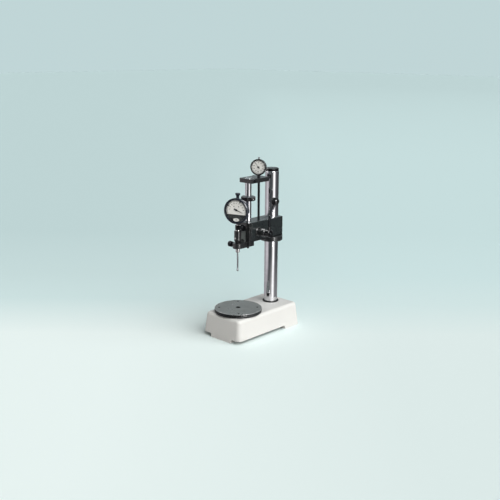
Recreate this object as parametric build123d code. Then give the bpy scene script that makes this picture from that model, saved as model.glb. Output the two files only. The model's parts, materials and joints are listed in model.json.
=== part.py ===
from build123d import *
import math
import os

# Comparator stand: a cast base with a round table and a chrome column, a head clamped on the
# column above a support collar, and a rack-driven slide that carries a comparator gauge.
# Millimetres. +Z is up, -Y is the operator's side and +X is the lever's side.
# The origin is on the resting plane, under the middle of the base.

# Fits and clearances
running_fit = 0.04
sliding_fit = 0.05
face_gap = 0.1
free_gap = 0.3
overrun = 2.0

# Base casting
base_length = 234.0
base_width = 130.0
base_height = 61.0
base_draft_inset = 6.4
base_corner_radius = 13.0
base_top_corner_radius = 11.5
base_edge_radius = 9.0
base_corner_inner_share = 0.8
base_wall = 9.0
base_deck = 11.0
base_rib = 8.0
foot_rise = 9.5
front_pad_width = 68.0
front_pad_depth = 20.0
rear_pad_length = 60.0
rear_pad_width = 38.0
notch_radius = 5.0
table_boss_radius = 30.0
table_boss_depth = 18.0
column_boss_radius = 29.0
column_boss_clear = 14.0
column_seat_web = 12.0

# Table
column_to_table = 123.5
table_radius = 60.0
table_thickness = 10.0
table_bore_radius = 5.0
base_table_hole_radius = 8.0
table_edge_chamfer = 0.9
table_groove_width = 1.6
table_groove_depth = 1.2
table_spigot_radius = 20.0
table_spigot_height = 3.5
table_spigot_relief = 0.5
table_hole_radius = 2.1
table_hole_edge_inset = 11.5
table_hole_count = 4
table_hole_turn = 45.0
table_screw_circle_radius = 13.0
table_screw_count = 3
table_screw_radius = 3.0
table_screw_head_radius = 5.0
table_screw_head_height = 6.0
table_screw_grip = 6.5

# Column
column_from_rear = 46.0
column_radius = 17.5
column_top_z = 408.3
column_chamfer = 1.0
column_cap_radius = 17.2
column_cap_height = 7.0
column_cap_dome = 1.5
column_cap_spigot_radius = 9.0
column_cap_spigot_length = 8.0
foot_ring_radius = 21.2
foot_ring_height = 2.6
foot_ring_edge = 0.9
column_bolt_radius = 6.0
column_bolt_grip = 20.0
column_bolt_head_radius = 9.0
column_bolt_head_height = 7.0
column_washer_radius = 14.0
column_washer_thickness = 2.5

# Support collar under the head
support_collar_z = 227.3
support_collar_radius = 29.0
support_collar_height = 13.4
support_collar_edge = 1.2
collar_slit = 2.5
collar_slit_angle = 215.0
collar_screw_offset = 23.2
collar_screw_radius = 2.5
collar_screw_head_radius = 4.2
collar_screw_head_height = 5.0
collar_screw_reach = 12.0
collar_screw_handle_radius = 6.2
collar_screw_handle_length = 9.0
collar_screw_handle_stand = 24.4

# Head
head_width = 42.0
head_front_wall = 10.2
head_rear_wall = 21.0
head_height = 48.8
head_edge = 1.6
head_slit = 2.5
head_slit_length = 22.0
head_clamp_y_ahead = 24.0
head_clamp_above = 13.0
head_clamp_radius = 4.0
head_clamp_nut_radius = 6.0
head_clamp_nut_depth = 6.0
head_knob_radius = 13.0
head_knob_length = 15.0
head_knob_neck_radius = 8.0
head_knob_neck_length = 6.0

# Slide rod with its rack
slide_rod_ahead = 88.4
slide_rod_radius = 8.0
slide_rod_top_stand = 1.6
slide_rod_chamfer = 1.2
rack_module = 0.8
pinion_teeth = 25
rack_teeth = 13
pressure_angle = 20.0
rack_backlash = 0.1
rack_tip_offset = 7.2
rack_tip_clearance = 0.25

# Pinion, its housing and the ball lever
pinion_above = 23.2
pinion_face = 15.0
pinion_bore_clear = 0.35
journal_radius = 5.0
bush_radius = 7.0
bush_length = 8.0
housing_radius = 10.4
housing_reach = 26.0
housing_spigot_length = 9.0
housing_ring_radius = 12.0
housing_ring_width = 3.0
hub_radius = 9.4
hub_length = 13.5
lever_from_hub_end = 4.5
hub_edge = 1.0
hub_screw_radius = 3.6
hub_screw_height = 2.4
hub_screw_socket_radius = 1.6
lever_root_radius = 4.2
lever_root_height = 8.0
lever_rod_radius = 2.9
lever_neck_radius = 3.4
lever_bend_up = 36.0
lever_ball_back = 20.8
lever_ball_up = 78.6
lever_ball_radius = 10.3
lever_ball_bore_depth = 9.0

# Anvil rod beside the slide rod, and the top arm
anvil_ahead = 49.8
anvil_radius = 3.0
anvil_seat_depth = 14.0
anvil_tip_radius = 1.6
anvil_tip_height = 0.8
top_arm_z = 387.6
top_arm_thickness = 10.6
top_arm_front_wall = 10.4
top_arm_rear_wall = 15.6
top_arm_edge = 2.0
top_arm_slit = 1.6
stem_counterbore_radius = 5.2
stem_counterbore_depth = 5.9
anvil_in = 0.5
arm_screw_radius = 2.5
arm_screw_head_radius = 3.6
arm_screw_head_height = 1.6
arm_clamp_behind = 8.4
arm_clamp_head_radius = 5.0
arm_clamp_head_length = 7.0

# Stop collar on the slide rod
stop_collar_z = 343.0
stop_collar_radius = 18.0
stop_collar_height = 9.6
stop_collar_edge = 0.9
stop_knurls = 40
stop_knurl_depth = 0.55
stop_screw_radius = 2.5
stop_screw_length = 8.0
stop_screw_stand = 1.0

# Carriage: upright plate and probe arm
carriage_plate_thickness = 6.9
carriage_foot_z = 227.0
carriage_plate_rise = 4.0
carriage_arm_thickness = 13.2
carriage_arm_rear_wall = 11.4
carriage_arm_corner = 4.0
carriage_edge = 1.2
probe_eye_radius = 12.5
probe_ahead_of_table = 2.5
rod_seat_depth = 9.0
rod_screw_radius = 2.0
rod_screw_bite = 12.0
rod_screw_head_radius = 3.0
rod_screw_head_height = 7.2
holder_screw_radius = 1.6
holder_screw_head_radius = 3.0
holder_screw_head_height = 2.4
holder_screw_bite = 6.0
holder_screw_above = 23.5
holder_screw_spacing = 10.0
holder_screw_count = 2

# Gauge holder: sleeve and web on the carriage
sleeve_radius = 8.8
sleeve_top_z = 270.6
sleeve_taper_height = 7.0
sleeve_foot_radius = 5.6
web_thickness = 16.0
web_top_below = 2.2
web_arch_radius = 6.5
web_arch_rise = 3.5
sleeve_screw_radius = 2.2
sleeve_screw_stand = 0.6
sleeve_screw_above = 12.9

# Stem clamp above the sleeve
stem_nut_height = 4.0
stem_nut_radius = 6.6
stem_clamp_radius = 6.5
stem_clamp_height = 10.6
stem_knob_radius = 7.7
stem_knob_length = 8.0
stem_knob_neck_radius = 3.2
stem_knob_neck_length = 6.6
stem_knob_screw_radius = 1.6
stem_knob_above = 6.4
knob_knurls = 26
knob_knurl_depth = 0.5
knob_edge = 0.8

# Probe guide bush in the eye of the arm, and its knob
guide_bush_radius = 4.4
guide_nut_radius = 5.3
guide_nut_height = 11.0
guide_nut_taper = 2.5
bush_knob_radius = 7.2
bush_knob_length = 10.0
bush_knob_neck_radius = 4.0
bush_knob_neck_length = 6.0
bush_knob_screw_radius = 2.0

# Probe
probe_radius = 1.9
probe_step_radius = 2.3
probe_step_height = 1.4
probe_step_count = 4
probe_step_pitch = 8.0
probe_tip_z = 166.7
probe_tip_height = 7.8
probe_tip_radius = 2.8
probe_tip_neck_radius = 1.5
probe_ball_radius = 1.5
probe_seat_share = 0.6
plunger_radius = 2.0
plunger_contact_above = 6.0

# Comparator gauge
gauge_turn = 19.0
gauge_z = 322.5
gauge_bezel_radius = 32.3
gauge_bezel_depth = 5.8
gauge_bezel_lip = 4.2
gauge_bezel_slope = 1.4
gauge_face_ahead = 12.5
gauge_back_behind = 6.5
gauge_housing_radius = 29.8
gauge_housing_edge = 3.2
gauge_wall = 2.4
gauge_back_radius = 25.0
gauge_back_thickness = 1.6
gauge_stem_radius = 4.0
gauge_stem_bore_clear = 0.3
gauge_stem_seat_radius = 6.5
gauge_stem_seat_height = 3.0
gauge_dial_thickness = 0.8
gauge_dial_depth = 4.3
gauge_crystal_thickness = 0.9
gauge_mask_thickness = 0.4
gauge_mask_drop_share = 0.34
gauge_hub_above_share = 0.09
gauge_pointer_thickness = 0.35
gauge_pointer_length = 20.5
gauge_pointer_tail = 6.5
gauge_pointer_half_width = 1.9
gauge_pointer_hub_radius = 2.1
gauge_pointer_gap = 0.6
gauge_pointer_turn = -111.0
pointer_waist_share = 0.36
pointer_waist_at_share = 0.5
gauge_arbor_radius = 0.6
limit_mark_length = 6.0
limit_mark_half_width = 2.9
limit_mark_thickness = 0.25
limit_mark_angles = (60.0, -24.0)
limit_ring_width = 1.0
zero_plate_width = 16.5
zero_plate_height = 8.0
zero_screw_radius = 1.7
zero_screw_height = 0.5
lifting_knob_low_radius = 3.7
lifting_knob_top_radius = 6.3
lifting_knob_neck = 7.0
lifting_knob_height = 12.5
lifting_knob_stand = 0.8

# Small dial gauge on the top arm
small_turn = 27.0
small_z = 422.4
small_bezel_radius = 20.6
small_bezel_depth = 4.8
small_bezel_lip = 2.1
small_bezel_slope = 1.4
small_bezel_knurls = 60
small_bezel_knurl_depth = 0.35
small_face_ahead = 9.0
small_back_behind = 7.0
small_housing_radius = 18.6
small_housing_edge = 2.0
small_wall = 1.8
small_back_radius = 15.5
small_back_thickness = 1.4
small_stem_radius = 4.0
small_dial_thickness = 0.6
small_dial_depth = 3.4
small_crystal_thickness = 1.0
small_crystal_depth = 0.7
small_pointer_length = 14.5
small_pointer_tail = 4.5
small_pointer_half_width = 0.75
small_pointer_hub_radius = 1.5
small_pointer_thickness = 0.3
small_pointer_gap = 0.5
small_pointer_turn = 38.0
small_plunger_radius = 1.9
small_plunger_tip_radius = 1.4
small_plunger_tip_height = 2.4
small_plunger_cap_radius = 2.2
small_plunger_cap_height = 4.6
small_cap_seat_radius = 3.2
small_cap_seat_height = 1.2

# Places worked out from the sizes above
column_y = base_length / 2 - column_from_rear
table_y = column_y - column_to_table
table_hole_circle_radius = table_radius - table_hole_edge_inset
table_z = base_height
table_top_z = table_z + table_thickness
column_foot_z = column_boss_clear + column_seat_web
collar_top_z = support_collar_z + support_collar_height
head_z = collar_top_z + face_gap
head_top_z = head_z + head_height
head_rear_y = column_y + head_rear_wall
slide_rod_y = column_y - slide_rod_ahead
head_front_y = slide_rod_y - head_front_wall
anvil_y = column_y - anvil_ahead
probe_y = table_y - probe_ahead_of_table
pinion_z = head_z + pinion_above
pinion_pitch_radius = rack_module * pinion_teeth / 2
rack_tip_y = slide_rod_y + rack_tip_offset
rack_pitch_y = rack_tip_y - rack_module
pinion_y = rack_pitch_y + pinion_pitch_radius
plate_rear_y = head_front_y - face_gap
plate_front_y = plate_rear_y - carriage_plate_thickness
carriage_arm_top_z = carriage_foot_z + carriage_arm_thickness
top_arm_front_y = slide_rod_y - top_arm_front_wall
top_arm_rear_y = anvil_y + top_arm_rear_wall
top_arm_top_z = top_arm_z + top_arm_thickness
stem_nut_top_z = sleeve_top_z + stem_nut_height
stem_clamp_top_z = stem_nut_top_z + stem_clamp_height
gauge_low_z = gauge_z - gauge_housing_radius
gauge_high_z = gauge_z + gauge_housing_radius
small_low_z = small_z - small_housing_radius
small_high_z = small_z + small_housing_radius
small_stem_end_z = top_arm_z + stem_counterbore_depth
anvil_top_z = top_arm_z + anvil_in
plunger_foot_z = sleeve_top_z - plunger_contact_above
housing_end_x = head_width / 2 + housing_reach
hub_start_x = housing_end_x + free_gap
hub_end_x = hub_start_x + hub_length
lever_x = hub_end_x - lever_from_hub_end


# General shapes
def block(x0, x1, y0, y1, z0, z1):
    shape = Box(x1 - x0, y1 - y0, z1 - z0)
    return Pos((x0 + x1) / 2, (y0 + y1) / 2, (z0 + z1) / 2) * shape


def post(x, y, z0, z1, radius):
    return Pos(x, y, (z0 + z1) / 2) * Cylinder(radius, z1 - z0)


def cross_post(x0, x1, y, z, radius):
    return Pos((x0 + x1) / 2, y, z) * Rot(0, 90, 0) * Cylinder(radius, x1 - x0)


def turned(points):
    # A solid of revolution about Z from (radius, height) corners
    profile = make_face(Polyline(*[(r, 0, z) for r, z in points], close=True))
    return revolve(profile, Axis.Z)


def turned_about_x(points, y, z):
    # The same, with the heights along +X from the origin plane
    return Pos(0, y, z) * Rot(0, 90, 0) * turned(points)


def chamfered_disc(radius, height, edge):
    return turned([(0, 0), (radius - edge, 0), (radius, edge), (radius, height - edge),
                   (radius - edge, height), (0, height)])


def knurled_disc(radius, height, edge, knurls, depth):
    # A straight knurl: a star-shaped prism trimmed by a chamfered disc
    points = []
    for i in range(2 * knurls):
        reach = radius if i % 2 == 0 else radius - depth
        angle = math.pi * i / knurls
        points.append((reach * math.cos(angle), reach * math.sin(angle)))
    prism = extrude(make_face(Polyline(*points, close=True)), height)
    return prism & chamfered_disc(radius, height, edge)


def washer_shape(radius, bore, height):
    return turned([(bore, 0), (radius, 0), (radius, height), (bore, height)])


# Base casting
def base_shell(inset, low_z, high_z):
    # The drafted outline of the base, drawn in by an inset, between two levels
    sections = []
    for z in (low_z, high_z):
        draw_in = inset + base_draft_inset * z / base_height
        corner = base_corner_radius + (base_top_corner_radius - base_corner_radius) * z / base_height
        corner = max(corner - inset * base_corner_inner_share, corner / 4)
        outline = RectangleRounded(base_width - 2 * draw_in, base_length - 2 * draw_in, corner)
        sections.append(Pos(0, 0, z) * outline)
    return loft(sections, ruled=True)


def foot_pads(low_z, high_z, beyond):
    half_w = base_width / 2 + beyond
    half_l = base_length / 2 + beyond
    front_end = front_pad_depth - base_length / 2
    rear_start = base_length / 2 - rear_pad_length
    rear_side = base_width / 2 - rear_pad_width
    front = block(-front_pad_width / 2, front_pad_width / 2, -half_l, front_end, low_z, high_z)
    left = block(-half_w, -rear_side, rear_start, half_l, low_z, high_z)
    right = block(rear_side, half_w, rear_start, half_l, low_z, high_z)
    return front, left, right


def foot_relief():
    # What is cut away under the lower edge, all but the three pads
    half_w = base_width / 2 + overrun
    half_l = base_length / 2 + overrun
    slab = block(-half_w, half_w, -half_l, half_l, -overrun, foot_rise)
    for pad in foot_pads(-overrun * 2, foot_rise + overrun, overrun * 2):
        slab -= pad
    ends = []
    for edge in slab.edges().filter_by_position(Axis.Z, foot_rise, foot_rise):
        middle = edge.center()
        inside_x = abs(middle.X) < half_w - overrun / 2
        inside_y = abs(middle.Y) < half_l - overrun / 2
        if inside_x and inside_y:
            ends.append(edge)
    return slab, ends


def make_base_casting():
    outer = base_shell(0, 0, base_height)
    rim = outer.faces().sort_by(Axis.Z)[-1].edges()
    outer = fillet(rim, base_edge_radius)
    cavity = base_shell(base_wall, -overrun, base_height - base_deck)
    body = outer - cavity
    under_deck = base_height - base_deck
    rib_low = under_deck - table_boss_depth
    bosses = post(0, table_y, rib_low, under_deck, table_boss_radius)
    bosses += post(0, column_y, column_boss_clear, under_deck, column_boss_radius)
    bosses += block(-base_rib / 2, base_rib / 2, table_y, column_y, rib_low, under_deck)
    body += bosses & base_shell(base_wall / 2, 0, base_height - base_deck / 2)
    for pad in foot_pads(0, foot_rise * 2, 0):
        body += pad & outer
    slab, ends = foot_relief()
    body -= fillet(ends, notch_radius)
    body -= post(0, table_y, 0, base_height + overrun, base_table_hole_radius)
    body -= post(0, table_y, base_height - table_spigot_height - table_spigot_relief, base_height + overrun,
                 table_spigot_radius + sliding_fit)
    for x, y in table_screw_places():
        body -= post(x, y, 0, base_height + overrun, table_screw_radius + free_gap)
    body -= post(0, column_y, column_foot_z, base_height + overrun, column_radius + sliding_fit)
    body -= post(0, column_y, 0, base_height, column_bolt_radius + free_gap)
    return body


# Table and its screws
def table_screw_places():
    places = []
    for i in range(table_screw_count):
        angle = math.radians(90 + 360 * i / table_screw_count)
        x = table_screw_circle_radius * math.cos(angle)
        y = table_y + table_screw_circle_radius * math.sin(angle)
        places.append((x, y))
    return places


def table_hole_places():
    places = []
    for i in range(table_hole_count):
        angle = math.radians(table_hole_turn + 360 * i / table_hole_count)
        x = table_hole_circle_radius * math.cos(angle)
        y = table_y + table_hole_circle_radius * math.sin(angle)
        places.append((x, y))
    return places


def make_table():
    low_groove = (table_thickness - table_groove_width) / 2
    high_groove = (table_thickness + table_groove_width) / 2
    neck = table_radius - table_groove_depth
    edge = table_edge_chamfer
    profile = [(table_bore_radius, -table_spigot_height), (table_spigot_radius, -table_spigot_height),
               (table_spigot_radius, 0), (table_radius - edge, 0), (table_radius, edge),
               (table_radius, low_groove), (neck, low_groove), (neck, high_groove),
               (table_radius, high_groove),
               (table_radius, table_thickness - edge), (table_radius - edge, table_thickness),
               (table_bore_radius + edge / 2, table_thickness),
               (table_bore_radius, table_thickness - edge / 2)]
    body = Pos(0, table_y, table_z) * turned(profile)
    for x, y in table_hole_places():
        body -= post(x, y, table_z - overrun, table_top_z + overrun, table_hole_radius)
    low = table_z - table_spigot_height
    for x, y in table_screw_places():
        body -= post(x, y, low - overrun, low + table_screw_grip, table_screw_radius)
    return body


def make_table_screws():
    seat_z = base_height - base_deck - table_boss_depth
    screws = []
    for x, y in table_screw_places():
        shank = post(x, y, seat_z, table_z + table_screw_grip - table_spigot_height, table_screw_radius)
        head = post(x, y, seat_z - table_screw_head_height, seat_z, table_screw_head_radius)
        socket = Pos(x, y, seat_z - table_screw_head_height) * extrude(
            RegularPolygon(table_screw_radius, 6), table_screw_head_height / 2)
        screws.append(shank + head - socket)
    return Compound(children=screws)


# Column, its cap, foot ring and bolt
def make_column():
    length = column_top_z - column_foot_z
    body = Pos(0, column_y, column_foot_z) * chamfered_disc(column_radius, length, column_chamfer)
    body -= post(0, column_y, column_foot_z - overrun, column_foot_z + column_bolt_grip, column_bolt_radius)
    body -= post(0, column_y, column_top_z - column_cap_spigot_length - free_gap, column_top_z + overrun,
                 column_cap_spigot_radius + sliding_fit)
    return body


def make_column_cap():
    r = column_cap_radius
    h = column_cap_height
    d = column_cap_dome
    spigot = column_cap_spigot_radius
    profile = [(0, -column_cap_spigot_length), (spigot, -column_cap_spigot_length), (spigot, 0), (r, 0),
               (r, h - d), (r - d, h), (0, h)]
    return Pos(0, column_y, column_top_z) * turned(profile)


def make_column_foot_ring():
    bore = column_radius + sliding_fit
    r = foot_ring_radius
    h = foot_ring_height
    e = foot_ring_edge
    profile = [(bore, 0), (r, 0), (r, h - e), (r - e, h), (bore, h)]
    return Pos(0, column_y, base_height) * turned(profile)


def make_column_bolt():
    low = column_boss_clear - column_washer_thickness
    washer = Pos(0, column_y, low) * washer_shape(column_washer_radius, column_bolt_radius + free_gap,
                                                  column_washer_thickness)
    head = Pos(0, column_y, low - column_bolt_head_height) * extrude(
        RegularPolygon(column_bolt_head_radius, 6), column_bolt_head_height)
    bolt = head + post(0, column_y, low, column_foot_z + column_bolt_grip, column_bolt_radius)
    return Compound(children=[bolt, washer])


# Support collar: a split ring with a tangential clamp screw
def collar_frame():
    # Local frame with +Y pointing out along the slit
    return Pos(0, column_y, support_collar_z) * Rot(0, 0, collar_slit_angle - 90)


def make_support_collar():
    h = support_collar_height
    ring = chamfered_disc(support_collar_radius, h, support_collar_edge)
    ring -= post(0, 0, -overrun, h + overrun, column_radius + running_fit)
    slit_end = support_collar_radius + overrun
    ring -= block(-collar_slit / 2, collar_slit / 2, 0, slit_end, -overrun, h + overrun)
    y = collar_screw_offset
    flat_x = collar_screw_reach - collar_screw_head_height
    screw_bore = collar_screw_radius + sliding_fit
    ring -= cross_post(-collar_screw_reach, support_collar_radius, y, h / 2, screw_bore)
    ring -= cross_post(flat_x, support_collar_radius, y, h / 2, collar_screw_head_radius + free_gap)
    return collar_frame() * ring


def make_collar_screw():
    y = collar_screw_offset
    z = support_collar_height / 2
    flat_x = collar_screw_reach - collar_screw_head_height
    shank = cross_post(-collar_screw_reach, flat_x, y, z, collar_screw_radius)
    head = cross_post(flat_x, collar_screw_reach + overrun, y, z, collar_screw_head_radius)
    grip = knurled_disc(collar_screw_handle_radius, collar_screw_handle_length, knob_edge, knob_knurls,
                        knob_knurl_depth)
    stand = collar_screw_handle_stand
    neck = cross_post(flat_x, stand, y, z, collar_screw_head_radius / 2)
    grip = Pos(stand, y, z) * Rot(0, 90, 0) * grip
    return collar_frame() * (shank + head + neck + grip)


# Head: clamped on the column, bored for the slide rod, cross-bored for the pinion
def make_head_body():
    half = head_width / 2
    body = block(-half, half, head_front_y, head_rear_y, head_z, head_top_z)
    body = chamfer(body.edges().filter_by(Axis.Z), head_edge)
    body = chamfer(body.faces().sort_by(Axis.Z)[-1].edges(), head_edge / 2)
    low = head_z - overrun
    high = head_top_z + overrun
    body -= post(0, column_y, low, high, column_radius + running_fit)
    body -= post(0, slide_rod_y, low, high, slide_rod_radius + running_fit)
    slit_rear = column_y - column_radius
    slit_front = slit_rear - head_slit_length
    body -= block(-head_slit / 2, head_slit / 2, slit_front, slit_rear + head_slit, low, high)
    bore = pinion_pitch_radius + rack_module + pinion_bore_clear
    body -= cross_post(-pinion_face / 2 - free_gap, half + overrun, pinion_y, pinion_z, bore)
    body -= cross_post(-half + head_edge, 0, pinion_y, pinion_z, bush_radius + sliding_fit)
    body -= post(0, anvil_y, head_top_z - anvil_seat_depth, high, anvil_radius + sliding_fit)
    clamp_y = column_y - head_clamp_y_ahead
    clamp_z = head_z + head_clamp_above
    body -= cross_post(-half - overrun, half + overrun, clamp_y, clamp_z, head_clamp_radius + free_gap)
    body -= cross_post(half - head_clamp_nut_depth, half + overrun, clamp_y, clamp_z,
                       head_clamp_nut_radius + sliding_fit)
    return body


def make_head_clamp_nut():
    half = head_width / 2
    clamp_y = column_y - head_clamp_y_ahead
    clamp_z = head_z + head_clamp_above
    body = cross_post(half - head_clamp_nut_depth, half + face_gap, clamp_y, clamp_z, head_clamp_nut_radius)
    return body - cross_post(0, head_width, clamp_y, clamp_z, head_clamp_radius + free_gap)


def make_head_clamp_knob():
    half = head_width / 2
    clamp_y = column_y - head_clamp_y_ahead
    clamp_z = head_z + head_clamp_above
    knob_x = -half - head_knob_neck_length
    shank = cross_post(knob_x, half - free_gap, clamp_y, clamp_z, head_clamp_radius)
    neck = cross_post(knob_x, -half - free_gap, clamp_y, clamp_z, head_knob_neck_radius)
    knob = knurled_disc(head_knob_radius, head_knob_length, knob_edge, knob_knurls, knob_knurl_depth * 2)
    return shank + neck + Pos(knob_x, clamp_y, clamp_z) * Rot(0, -90, 0) * knob


# Rack and pinion
def involute_gap(radius, base_radius):
    # The involute function at a radius, zero inside the base circle
    if radius <= base_radius:
        return 0.0
    alpha = math.acos(base_radius / radius)
    return math.tan(alpha) - alpha


def pinion_outline():
    # Involute teeth, one of them pointing along -X of the sketch
    base_radius = pinion_pitch_radius * math.cos(math.radians(pressure_angle))
    root = pinion_pitch_radius - rack_module - rack_tip_clearance
    tip = pinion_pitch_radius + rack_module
    width = math.pi * rack_module / 2 - rack_backlash
    half_pitch_angle = width / 2 / pinion_pitch_radius
    open_angle = half_pitch_angle + involute_gap(pinion_pitch_radius, base_radius)
    radii = (root, base_radius, pinion_pitch_radius, tip)
    points = []
    for i in range(pinion_teeth):
        centre = math.pi + 2 * math.pi * i / pinion_teeth
        for r in radii:
            angle = centre - (open_angle - involute_gap(r, base_radius))
            points.append((r * math.cos(angle), r * math.sin(angle)))
        for r in reversed(radii):
            angle = centre + (open_angle - involute_gap(r, base_radius))
            points.append((r * math.cos(angle), r * math.sin(angle)))
    return make_face(Polyline(*points, close=True))


def make_pinion_shaft():
    # The sketch's X becomes the part's Y, and its Y becomes Z
    frame = Plane(origin=(-pinion_face / 2, pinion_y, pinion_z), x_dir=(0, 1, 0), z_dir=(1, 0, 0))
    gear = extrude(frame * pinion_outline(), pinion_face)
    left_end = -head_width / 2 + head_edge + free_gap
    shaft = cross_post(left_end, hub_end_x - hub_edge, pinion_y, pinion_z, journal_radius)
    return gear + shaft


def rack_gaps():
    # The spaces between the rack's teeth, one of them level with the pinion's axis
    pitch = math.pi * rack_module
    lean = math.tan(math.radians(pressure_angle))
    half_gap = (pitch / 2 + rack_backlash) / 2
    depth = rack_module + rack_tip_clearance
    root_y = rack_pitch_y - depth
    half_width = slide_rod_radius + overrun
    gaps = []
    for i in range(rack_teeth):
        z = pinion_z + pitch * (i - (rack_teeth - 1) / 2)
        narrow = half_gap - lean * depth
        wide = half_gap + lean * (rack_module + overrun)
        frame = Plane(origin=(-half_width, 0, z), x_dir=(0, 1, 0), z_dir=(1, 0, 0))
        outline = Polyline((root_y, -narrow), (rack_tip_y + overrun, -wide), (rack_tip_y + overrun, wide),
                           (root_y, narrow), close=True)
        gaps.append(extrude(frame * make_face(outline), half_width * 2))
    return gaps


def make_slide_rod():
    low = carriage_arm_top_z - rod_seat_depth
    high = top_arm_top_z + slide_rod_top_stand
    body = Pos(0, slide_rod_y, low) * chamfered_disc(slide_rod_radius, high - low, slide_rod_chamfer)
    rack_half = math.pi * rack_module * rack_teeth / 2
    wide = slide_rod_radius + overrun
    body -= block(-wide, wide, rack_tip_y, rack_tip_y + wide, pinion_z - rack_half, pinion_z + rack_half)
    for gap in rack_gaps():
        body -= gap
    return body - post(0, slide_rod_y, low - overrun, low + rod_screw_bite, rod_screw_radius)


def make_pinion_housing():
    half = head_width / 2
    bore = pinion_pitch_radius + rack_module + pinion_bore_clear
    inner = half - housing_spigot_length
    ring_end = half + housing_ring_width
    shaft_bore = journal_radius + free_gap
    bush_start = housing_end_x - bush_length
    bush_bore = bush_radius + sliding_fit
    profile = [(shaft_bore, inner), (bore - sliding_fit, inner), (bore - sliding_fit, half),
               (housing_ring_radius, half), (housing_ring_radius, ring_end - hub_edge),
               (housing_ring_radius - hub_edge, ring_end), (housing_radius, ring_end),
               (housing_radius, housing_end_x - hub_edge), (housing_radius - hub_edge, housing_end_x),
               (bush_bore, housing_end_x), (bush_bore, bush_start), (shaft_bore, bush_start)]
    return turned_about_x(profile, pinion_y, pinion_z)


def make_pinion_bushes():
    half = head_width / 2
    ring = washer_shape(bush_radius, journal_radius + running_fit, bush_length)
    left = Pos(-half + head_edge, pinion_y, pinion_z) * Rot(0, 90, 0) * ring
    right = Pos(housing_end_x - bush_length, pinion_y, pinion_z) * Rot(0, 90, 0) * ring
    return Compound(children=[left, right])


# Ball lever
def make_lever_hub():
    profile = [(journal_radius, hub_start_x), (hub_radius - hub_edge, hub_start_x),
               (hub_radius, hub_start_x + hub_edge), (hub_radius, hub_end_x - hub_edge),
               (hub_radius - hub_edge, hub_end_x), (0, hub_end_x), (0, hub_end_x - hub_edge),
               (journal_radius, hub_end_x - hub_edge)]
    hub = turned_about_x(profile, pinion_y, pinion_z)
    boss = Pos(lever_x, pinion_y, pinion_z) * turned(
        [(0, 0), (lever_root_radius, 0), (lever_root_radius, hub_radius + lever_root_height - hub_edge),
         (lever_root_radius - hub_edge, hub_radius + lever_root_height), (0, hub_radius + lever_root_height)])
    bore = journal_radius + hub_edge
    boss -= cross_post(hub_start_x - overrun, hub_end_x + overrun, pinion_y, pinion_z, bore)
    socket = lever_socket()
    return hub + boss - socket


def lever_socket():
    depth = hub_radius + lever_root_height
    return post(lever_x, pinion_y, pinion_z + depth - lever_root_height, pinion_z + depth + overrun,
                lever_rod_radius)


def lever_ball_frame():
    # At the ball's centre, with +Z towards the lever's bend
    bend = Vector(lever_x, pinion_y, pinion_z + lever_bend_up)
    centre = Vector(lever_x, pinion_y + lever_ball_back, pinion_z + lever_ball_up)
    return bend, centre, (bend - centre).normalized()


def make_lever_rod():
    bend, centre, towards = lever_ball_frame()
    start = Vector(lever_x, pinion_y, pinion_z + hub_radius)
    near = lever_ball_radius + face_gap
    far = lever_ball_radius * 2
    path = FilletPolyline(start, bend, centre + towards * (far - overrun), radius=lever_bend_up)
    rod = sweep(Plane(origin=start, z_dir=(0, 0, 1)) * Circle(lever_rod_radius), path=path)
    frame = Plane(origin=centre, z_dir=towards)
    stud_end = lever_ball_radius - lever_ball_bore_depth
    stud = turned([(0, stud_end), (lever_rod_radius, stud_end), (lever_rod_radius, near),
                   (lever_neck_radius, near), (lever_neck_radius, near + hub_edge), (lever_rod_radius, far),
                   (0, far)])
    return rod + frame * stud


def make_lever_ball():
    centre, towards = lever_ball_frame()[1:]
    frame = Plane(origin=centre, z_dir=towards)
    bore_end = lever_ball_radius - lever_ball_bore_depth - free_gap
    return Pos(centre) * Sphere(lever_ball_radius) - frame * post(0, 0, bore_end, lever_ball_radius * 2,
                                                                   lever_rod_radius)


def make_hub_screw():
    profile = [(0, 0), (hub_screw_radius, 0), (hub_screw_radius, hub_screw_height / 2),
               (hub_screw_radius - hub_screw_height / 2, hub_screw_height),
               (hub_screw_socket_radius, hub_screw_height), (hub_screw_socket_radius, hub_screw_height / 3),
               (0, hub_screw_height / 3)]
    return Pos(hub_end_x, pinion_y, pinion_z) * Rot(0, 90, 0) * turned(profile)


# Anvil rod
def make_anvil_rod():
    low = head_top_z - anvil_seat_depth
    shoulder = anvil_top_z - anvil_tip_height
    profile = [(0, low), (anvil_radius, low), (anvil_radius, shoulder - anvil_tip_height),
               (anvil_tip_radius, shoulder), (anvil_tip_radius, anvil_top_z), (0, anvil_top_z)]
    return Pos(0, anvil_y, 0) * turned(profile)


# Top arm
def make_top_arm():
    half = head_width / 2
    body = block(-half, half, top_arm_front_y, top_arm_rear_y, top_arm_z, top_arm_top_z)
    body = fillet(body.edges().filter_by(Axis.Z), top_arm_edge)
    body = chamfer(body.faces().sort_by(Axis.Z)[-1].edges(), top_arm_edge / 3)
    low = top_arm_z - overrun
    high = top_arm_top_z + overrun
    body -= post(0, slide_rod_y, low, high, slide_rod_radius)
    body -= post(0, anvil_y, low, high, small_stem_radius)
    body -= post(0, anvil_y, low, small_stem_end_z, stem_counterbore_radius)
    body -= block(-top_arm_slit / 2, top_arm_slit / 2, anvil_y, top_arm_rear_y + overrun, low, high)
    mid_z = (top_arm_z + top_arm_top_z) / 2
    screw_in = slide_rod_radius - arm_screw_radius
    body -= cross_post(screw_in, half + overrun, slide_rod_y, mid_z, arm_screw_radius)
    clamp_y = anvil_y + arm_clamp_behind
    body -= cross_post(-half - overrun, half - arm_screw_head_radius, clamp_y, mid_z,
                       arm_screw_radius + sliding_fit)
    return body


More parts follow.
